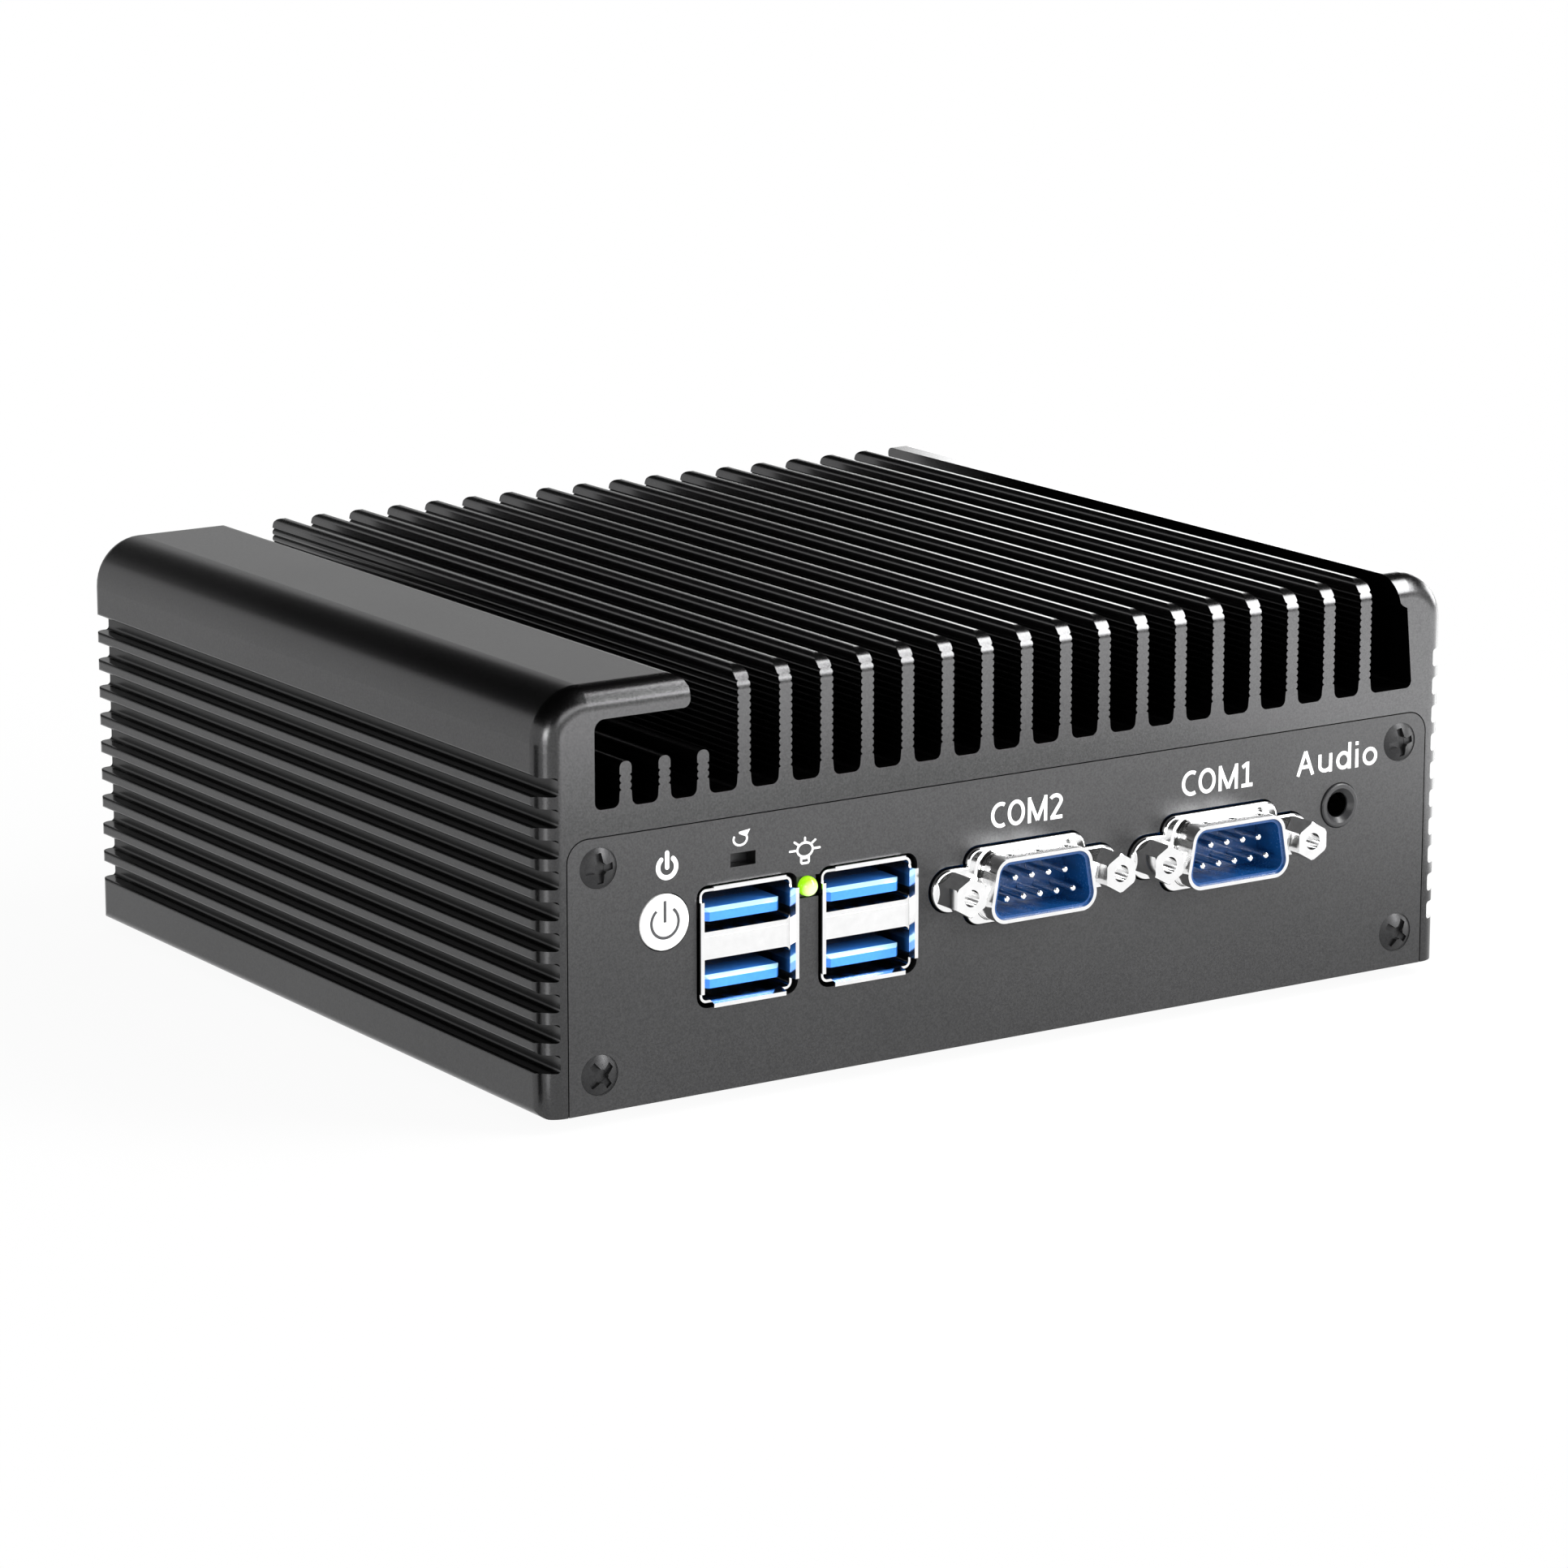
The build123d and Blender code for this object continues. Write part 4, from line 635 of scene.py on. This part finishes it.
def dressNodes():
    # every carried-over node takes the finish of its slot, or its own
    finishes = {slot: makeFinish(slot, look) for slot, look in finishLooks.items()}
    finishes["green_board"] = boardFinish(boardSettings)
    finishes["green_lens"] = lensFinish(lensSettings)
    for part in frame["record"]["subparts"]:
        mesh = nodes[part["node"]].data
        mesh.materials.clear()
        mesh.materials.append(finishes[ownFinishes.get(part["node"], part["material_slot"])])


dressNodes()
print("finishes on", len(nodes), "nodes")


# ---- ink marks on the front panel ---------------------------------------------------------------
def addPiece(name, points, faces, material, body):
    mesh = bpy.data.meshes.new(name)
    mesh.from_pydata(points.tolist(), [], faces)
    mesh.materials.append(material)
    mesh.update()
    piece = bpy.data.objects.new(name, mesh)
    bpy.context.scene.collection.objects.link(piece)
    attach(piece, body)
    return piece


arcCount = 40
lineCount = 24
endCount = 8


def ovalPath(x, z, wide, tall, start, end):
    # arc of an oval, angles in degrees, 0 to the right and 90 up
    angle = np.radians(np.linspace(start, end, arcCount))
    return np.stack([x + wide * np.cos(angle), z + tall * np.sin(angle)], 1)


def linePath(x0, z0, x1, z1):
    t = np.linspace(0, 1, lineCount)[:, None]
    return np.array([[x0, z0]]) * (1 - t) + np.array([[x1, z1]]) * t


def inkBand(path, width, face, lift, roundEnds=True):
    # a low rectangle carried along a path: its half width at s along is r, and within r of a
    # rounded end it is the square root of r squared less (r - s) squared
    half = width / 2
    step = np.linalg.norm(np.diff(path, axis=0), axis=1)
    s = np.concatenate([[0], np.cumsum(step)])
    if roundEnds:
        ends = (1 - np.cos(np.linspace(0, math.pi / 2, endCount))) * half
        inner = np.linspace(half, s[-1] - half, max(4, len(path)))[1:-1]
        at = np.concatenate([ends, inner, s[-1] - ends[::-1]])
        near = np.minimum(np.minimum(at, s[-1] - at), half)
        wide = np.sqrt(np.maximum(half ** 2 - (half - near) ** 2, (0.02 * half) ** 2))
    else:
        at = s
        wide = np.full(len(at), half)
    centre = np.stack([np.interp(at, s, path[:, 0]), np.interp(at, s, path[:, 1])], 1)
    along = np.gradient(centre, at, axis=0)
    along /= np.linalg.norm(along, axis=1)[:, None]
    across = np.stack([-along[:, 1], along[:, 0]], 1)
    left = centre + across * wide[:, None]
    right = centre - across * wide[:, None]
    rows = []
    for side, level in ((left, face), (left, face - lift), (right, face - lift), (right, face)):
        rows.append(np.stack([side[:, 0], np.full(len(side), level), side[:, 1]], 1))
    points = np.stack(rows, 1).reshape(-1, 3)
    k = np.arange(len(at) - 1)[:, None] * 4
    c = np.arange(4)[None, :]
    d = (c + 1) % 4
    quads = np.stack([k + c, k + d, k + 4 + d, k + 4 + c], -1).reshape(-1, 4).tolist()
    last = (len(at) - 1) * 4
    return points, quads + [[3, 2, 1, 0], [last, last + 1, last + 2, last + 3]]


def joinBands(bands):
    points, faces, base = [], [], 0
    for more, sides in bands:
        points.append(more)
        faces += [[i + base for i in side] for side in sides]
        base += len(more)
    return np.concatenate(points), faces


def inkPatch(outline, face, lift):
    # a low prism on a closed outline, with its points in turn
    count = len(outline)
    rows = [(x, level, z) for level in (face, face - lift) for x, z in outline]
    sides = [[i, (i + 1) % count, (i + 1) % count + count, i + count] for i in range(count)]
    return np.array(rows), sides + [list(range(count))[::-1], list(range(count, 2 * count))]


# strokes of each letter, for a capital height of 1 and a stroke of letterStroke, and its width
letterStroke = 0.148
h = letterStroke / 2
xHeight = 0.74
letterStrokes = {
    "C": (0.62, [ovalPath(0.44, 0.5, 0.44 - h, 0.5 - h, 62, 298)]),
    "O": (0.78, [ovalPath(0.39, 0.5, 0.39 - h, 0.5 - h, 0, 360)]),
    "M": (0.88, [
        linePath(h, 0, h, 1), linePath(0.88 - h, 0, 0.88 - h, 1),
        linePath(h, 1 - h, 0.44, h), linePath(0.44, h, 0.88 - h, 1 - h),
    ]),
    "2": (0.56, [
        ovalPath(0.25, 0.72, 0.25, 0.28 - h, 150, -30),
        linePath(0.467, 0.615, 0.09, h * 1.2), linePath(0.02, h, 0.56, h),
    ]),
    "1": (0.52, [linePath(0.30, 0, 0.30, 1), linePath(0.07, 0.80, 0.28, 0.94), linePath(0.04, h, 0.54, h)]),
    "A": (0.70, [
        linePath(h * 0.9, 0, 0.35, 1 - h * 0.6), linePath(0.35, 1 - h * 0.6, 0.70 - h * 0.9, 0),
        linePath(0.16, 0.34, 0.54, 0.34),
    ]),
    "u": (0.56, [
        linePath(h, 0.25, h, xHeight), linePath(0.56 - h, 0, 0.56 - h, xHeight),
        ovalPath(0.28, 0.28, 0.28 - h, 0.28 - h, 180, 360),
    ]),
    "d": (0.60, [
        ovalPath(0.29, xHeight / 2, 0.29 - h, xHeight / 2 - h, 0, 360), linePath(0.60 - h, 0, 0.60 - h, 1.06),
    ]),
    "i": (0.16, [linePath(0.08, 0, 0.08, xHeight), linePath(0.08, 0.90, 0.08, 1.04)]),
    "o": (0.60, [ovalPath(0.30, xHeight / 2, 0.30 - h, xHeight / 2 - h, 0, 360)]),
}
inkSettings = {
    "lift": 0.03 * mm,
    "cross": 1.05,      # crossing strokes differ a little in height
    "letterGap": 0.13,
    "letterHeight": 3.6 * mm,
    "white": {
        "tones": ((0.86, 0.86, 0.86), (0.94, 0.94, 0.94)), "rough": (0.42, 0.58),
        "grain": 0.12 * mm, "depth": 0.004 * mm, "cloud": 3 * mm,
    },
    "grey": {
        "tones": ((0.035, 0.035, 0.038), (0.055, 0.055, 0.058)), "rough": (0.42, 0.58),
        "grain": 0.12 * mm, "depth": 0.004 * mm, "cloud": 3 * mm,
    },
}
labelSettings = {
    "COM2": {"over": "com2_shell", "shift": 0.485 * mm, "rise": 7.5 * mm, "width": 11.95 * mm},
    "COM1": {"over": "com1_shell", "shift": -0.235 * mm, "rise": 7.7 * mm, "width": 12.3 * mm},
    "Audio": {"over": "audio_sleeve", "shift": -0.5 * mm, "rise": 5.1 * mm, "width": 14.6 * mm},
}


def makeLabel(text, label, material, face):
    # the letters one after another, drawn out to the width of the whole word
    gap = inkSettings["letterGap"]
    word = sum(letterStrokes[letter][0] for letter in text) + gap * (len(text) - 1)
    centre = boxCentre(label["over"])
    tall = inkSettings["letterHeight"]
    wide = label["width"] / word
    left = centre.x + label["shift"] - label["width"] / 2
    bands = []
    for letter in text:
        width, strokes = letterStrokes[letter]
        for k, stroke in enumerate(strokes):
            path = np.stack([left + stroke[:, 0] * wide, centre.z + label["rise"] + stroke[:, 1] * tall], 1)
            lift = inkSettings["lift"] * (1 + (inkSettings["cross"] - 1) * k)
            bands.append(inkBand(path, letterStroke * tall, face, lift, roundEnds=False))
        left += (width + gap) * wide
    addPiece("label" + text, *joinBands(bands), material, "case")


def markCentre(node, settings):
    centre = boxCentre(node)
    return centre.x + settings["shift"], centre.z + settings["rise"]


powerSettings = {
    "shift": 0.52 * mm, "rise": 7.35 * mm, "radius": 1.40 * mm, "gap": (117, 423), "ringWidth": 0.68 * mm,
    "stem": (-0.35 * mm, 2.25 * mm), "stemWidth": 0.66 * mm,
}


def makePowerMark(settings, material, face, lift):
    x, z = markCentre("power_button", settings)
    radius = settings["radius"]
    low, high = settings["stem"]
    mark = joinBands([
        inkBand(ovalPath(x, z, radius, radius, *settings["gap"]), settings["ringWidth"], face, lift),
        inkBand(linePath(x, z + low, x, z + high), settings["stemWidth"], face, lift * inkSettings["cross"]),
    ])
    addPiece("powerMark", *mark, material, "case")


resetSettings = {
    "shift": -0.43 * mm, "rise": 2.75 * mm, "size": (1.06 * mm, 0.84 * mm), "turn": (148, 402),
    "width": 0.30 * mm,
    "head": ((-0.2, 0.98), (-0.2, 0.72), (0.95, 0.22), (1.55, 1.2)),     # mm from the middle
}


def makeResetMark(settings, material, face, lift):
    x, z = markCentre("reset_button", settings)
    head = [(x + dx * mm, z + dz * mm) for dx, dz in settings["head"]]
    mark = joinBands([
        inkBand(ovalPath(x, z, *settings["size"], *settings["turn"]), settings["width"], face, lift),
        inkPatch(head, face, lift * inkSettings["cross"]),
    ])
    addPiece("resetMark", *mark, material, "case")


lampMarkSettings = {
    "shift": -0.55 * mm, "rise": 5.12 * mm, "bulb": (1.22 * mm, 0.96 * mm), "width": 0.31 * mm,
    "neck": (0.62 * mm, 0.85 * mm, 1.85 * mm),       # half width, and drop of its two ends
    "bars": (1.15 * mm, 1.85 * mm),
    "rays": ((0, 2.5), (35, 2.15), (90, 1.75), (145, 2.2), (180, 2.55)),    # angle and reach in mm
    "rayStart": (1.30, 0.25), "rayWidth": 0.30 * mm,
}


def makeLampMark(settings, material, face, lift):
    x, z = markCentre("indicator_lamp", settings)
    width = settings["width"]
    half, top, bottom = settings["neck"]
    cross = inkSettings["cross"]
    bands = [inkBand(ovalPath(x, z, *settings["bulb"], -90, 270), width, face, lift, roundEnds=False)]
    for edge in (x - half, x + half):
        bands.append(inkBand(linePath(edge, z - top, edge, z - bottom), width, face, lift * cross))
    for drop in settings["bars"]:
        bar = linePath(x - half, z - drop, x + half, z - drop)
        bands.append(inkBand(bar, width, face, lift * (2 * cross - 1)))
    for angle, reach in settings["rays"]:
        c, s = math.cos(math.radians(angle)), math.sin(math.radians(angle))
        start = settings["rayStart"][0] - settings["rayStart"][1] * s
        ray = linePath(x + start * mm * c, z + start * mm * s, x + reach * mm * c, z + reach * mm * s)
        bands.append(inkBand(ray, settings["rayWidth"], face, lift * cross))
    addPiece("lampMark", *joinBands(bands), material, "case")


buttonSettings = {
    "shift": 0.0, "rise": 0.0, "radius": 2.1 * mm, "gap": (128, 412), "ringWidth": 0.40 * mm,
    "stem": 2.9 * mm, "stemWidth": 0.42 * mm,
}


def makeButtonMark(settings, material, face, lift):
    x, z = markCentre("power_button", settings)
    radius = settings["radius"]
    ring = ovalPath(x, z, radius, radius, *settings["gap"])
    stem = linePath(x, z, x, z + settings["stem"])
    mark = joinBands([
        inkBand(ring, settings["ringWidth"], face, lift, roundEnds=False),
        inkBand(stem, settings["stemWidth"], face, lift, roundEnds=False),
    ])
    addPiece("buttonMark", *mark, material, "power_key")


def makeInk(settings):
    white = makeFinish("whiteInk", settings["white"])
    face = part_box("front_panel")[0].y
    lift = settings["lift"]
    for text, label in labelSettings.items():
        makeLabel(text, label, white, face)
    makePowerMark(powerSettings, white, face, lift)
    makeResetMark(resetSettings, white, face, lift)
    makeLampMark(lampMarkSettings, white, face, lift)
    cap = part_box("power_button")[0].y
    makeButtonMark(buttonSettings, makeFinish("greyInk", settings["grey"]), cap, lift)


makeInk(inkSettings)
print("ink marks made")
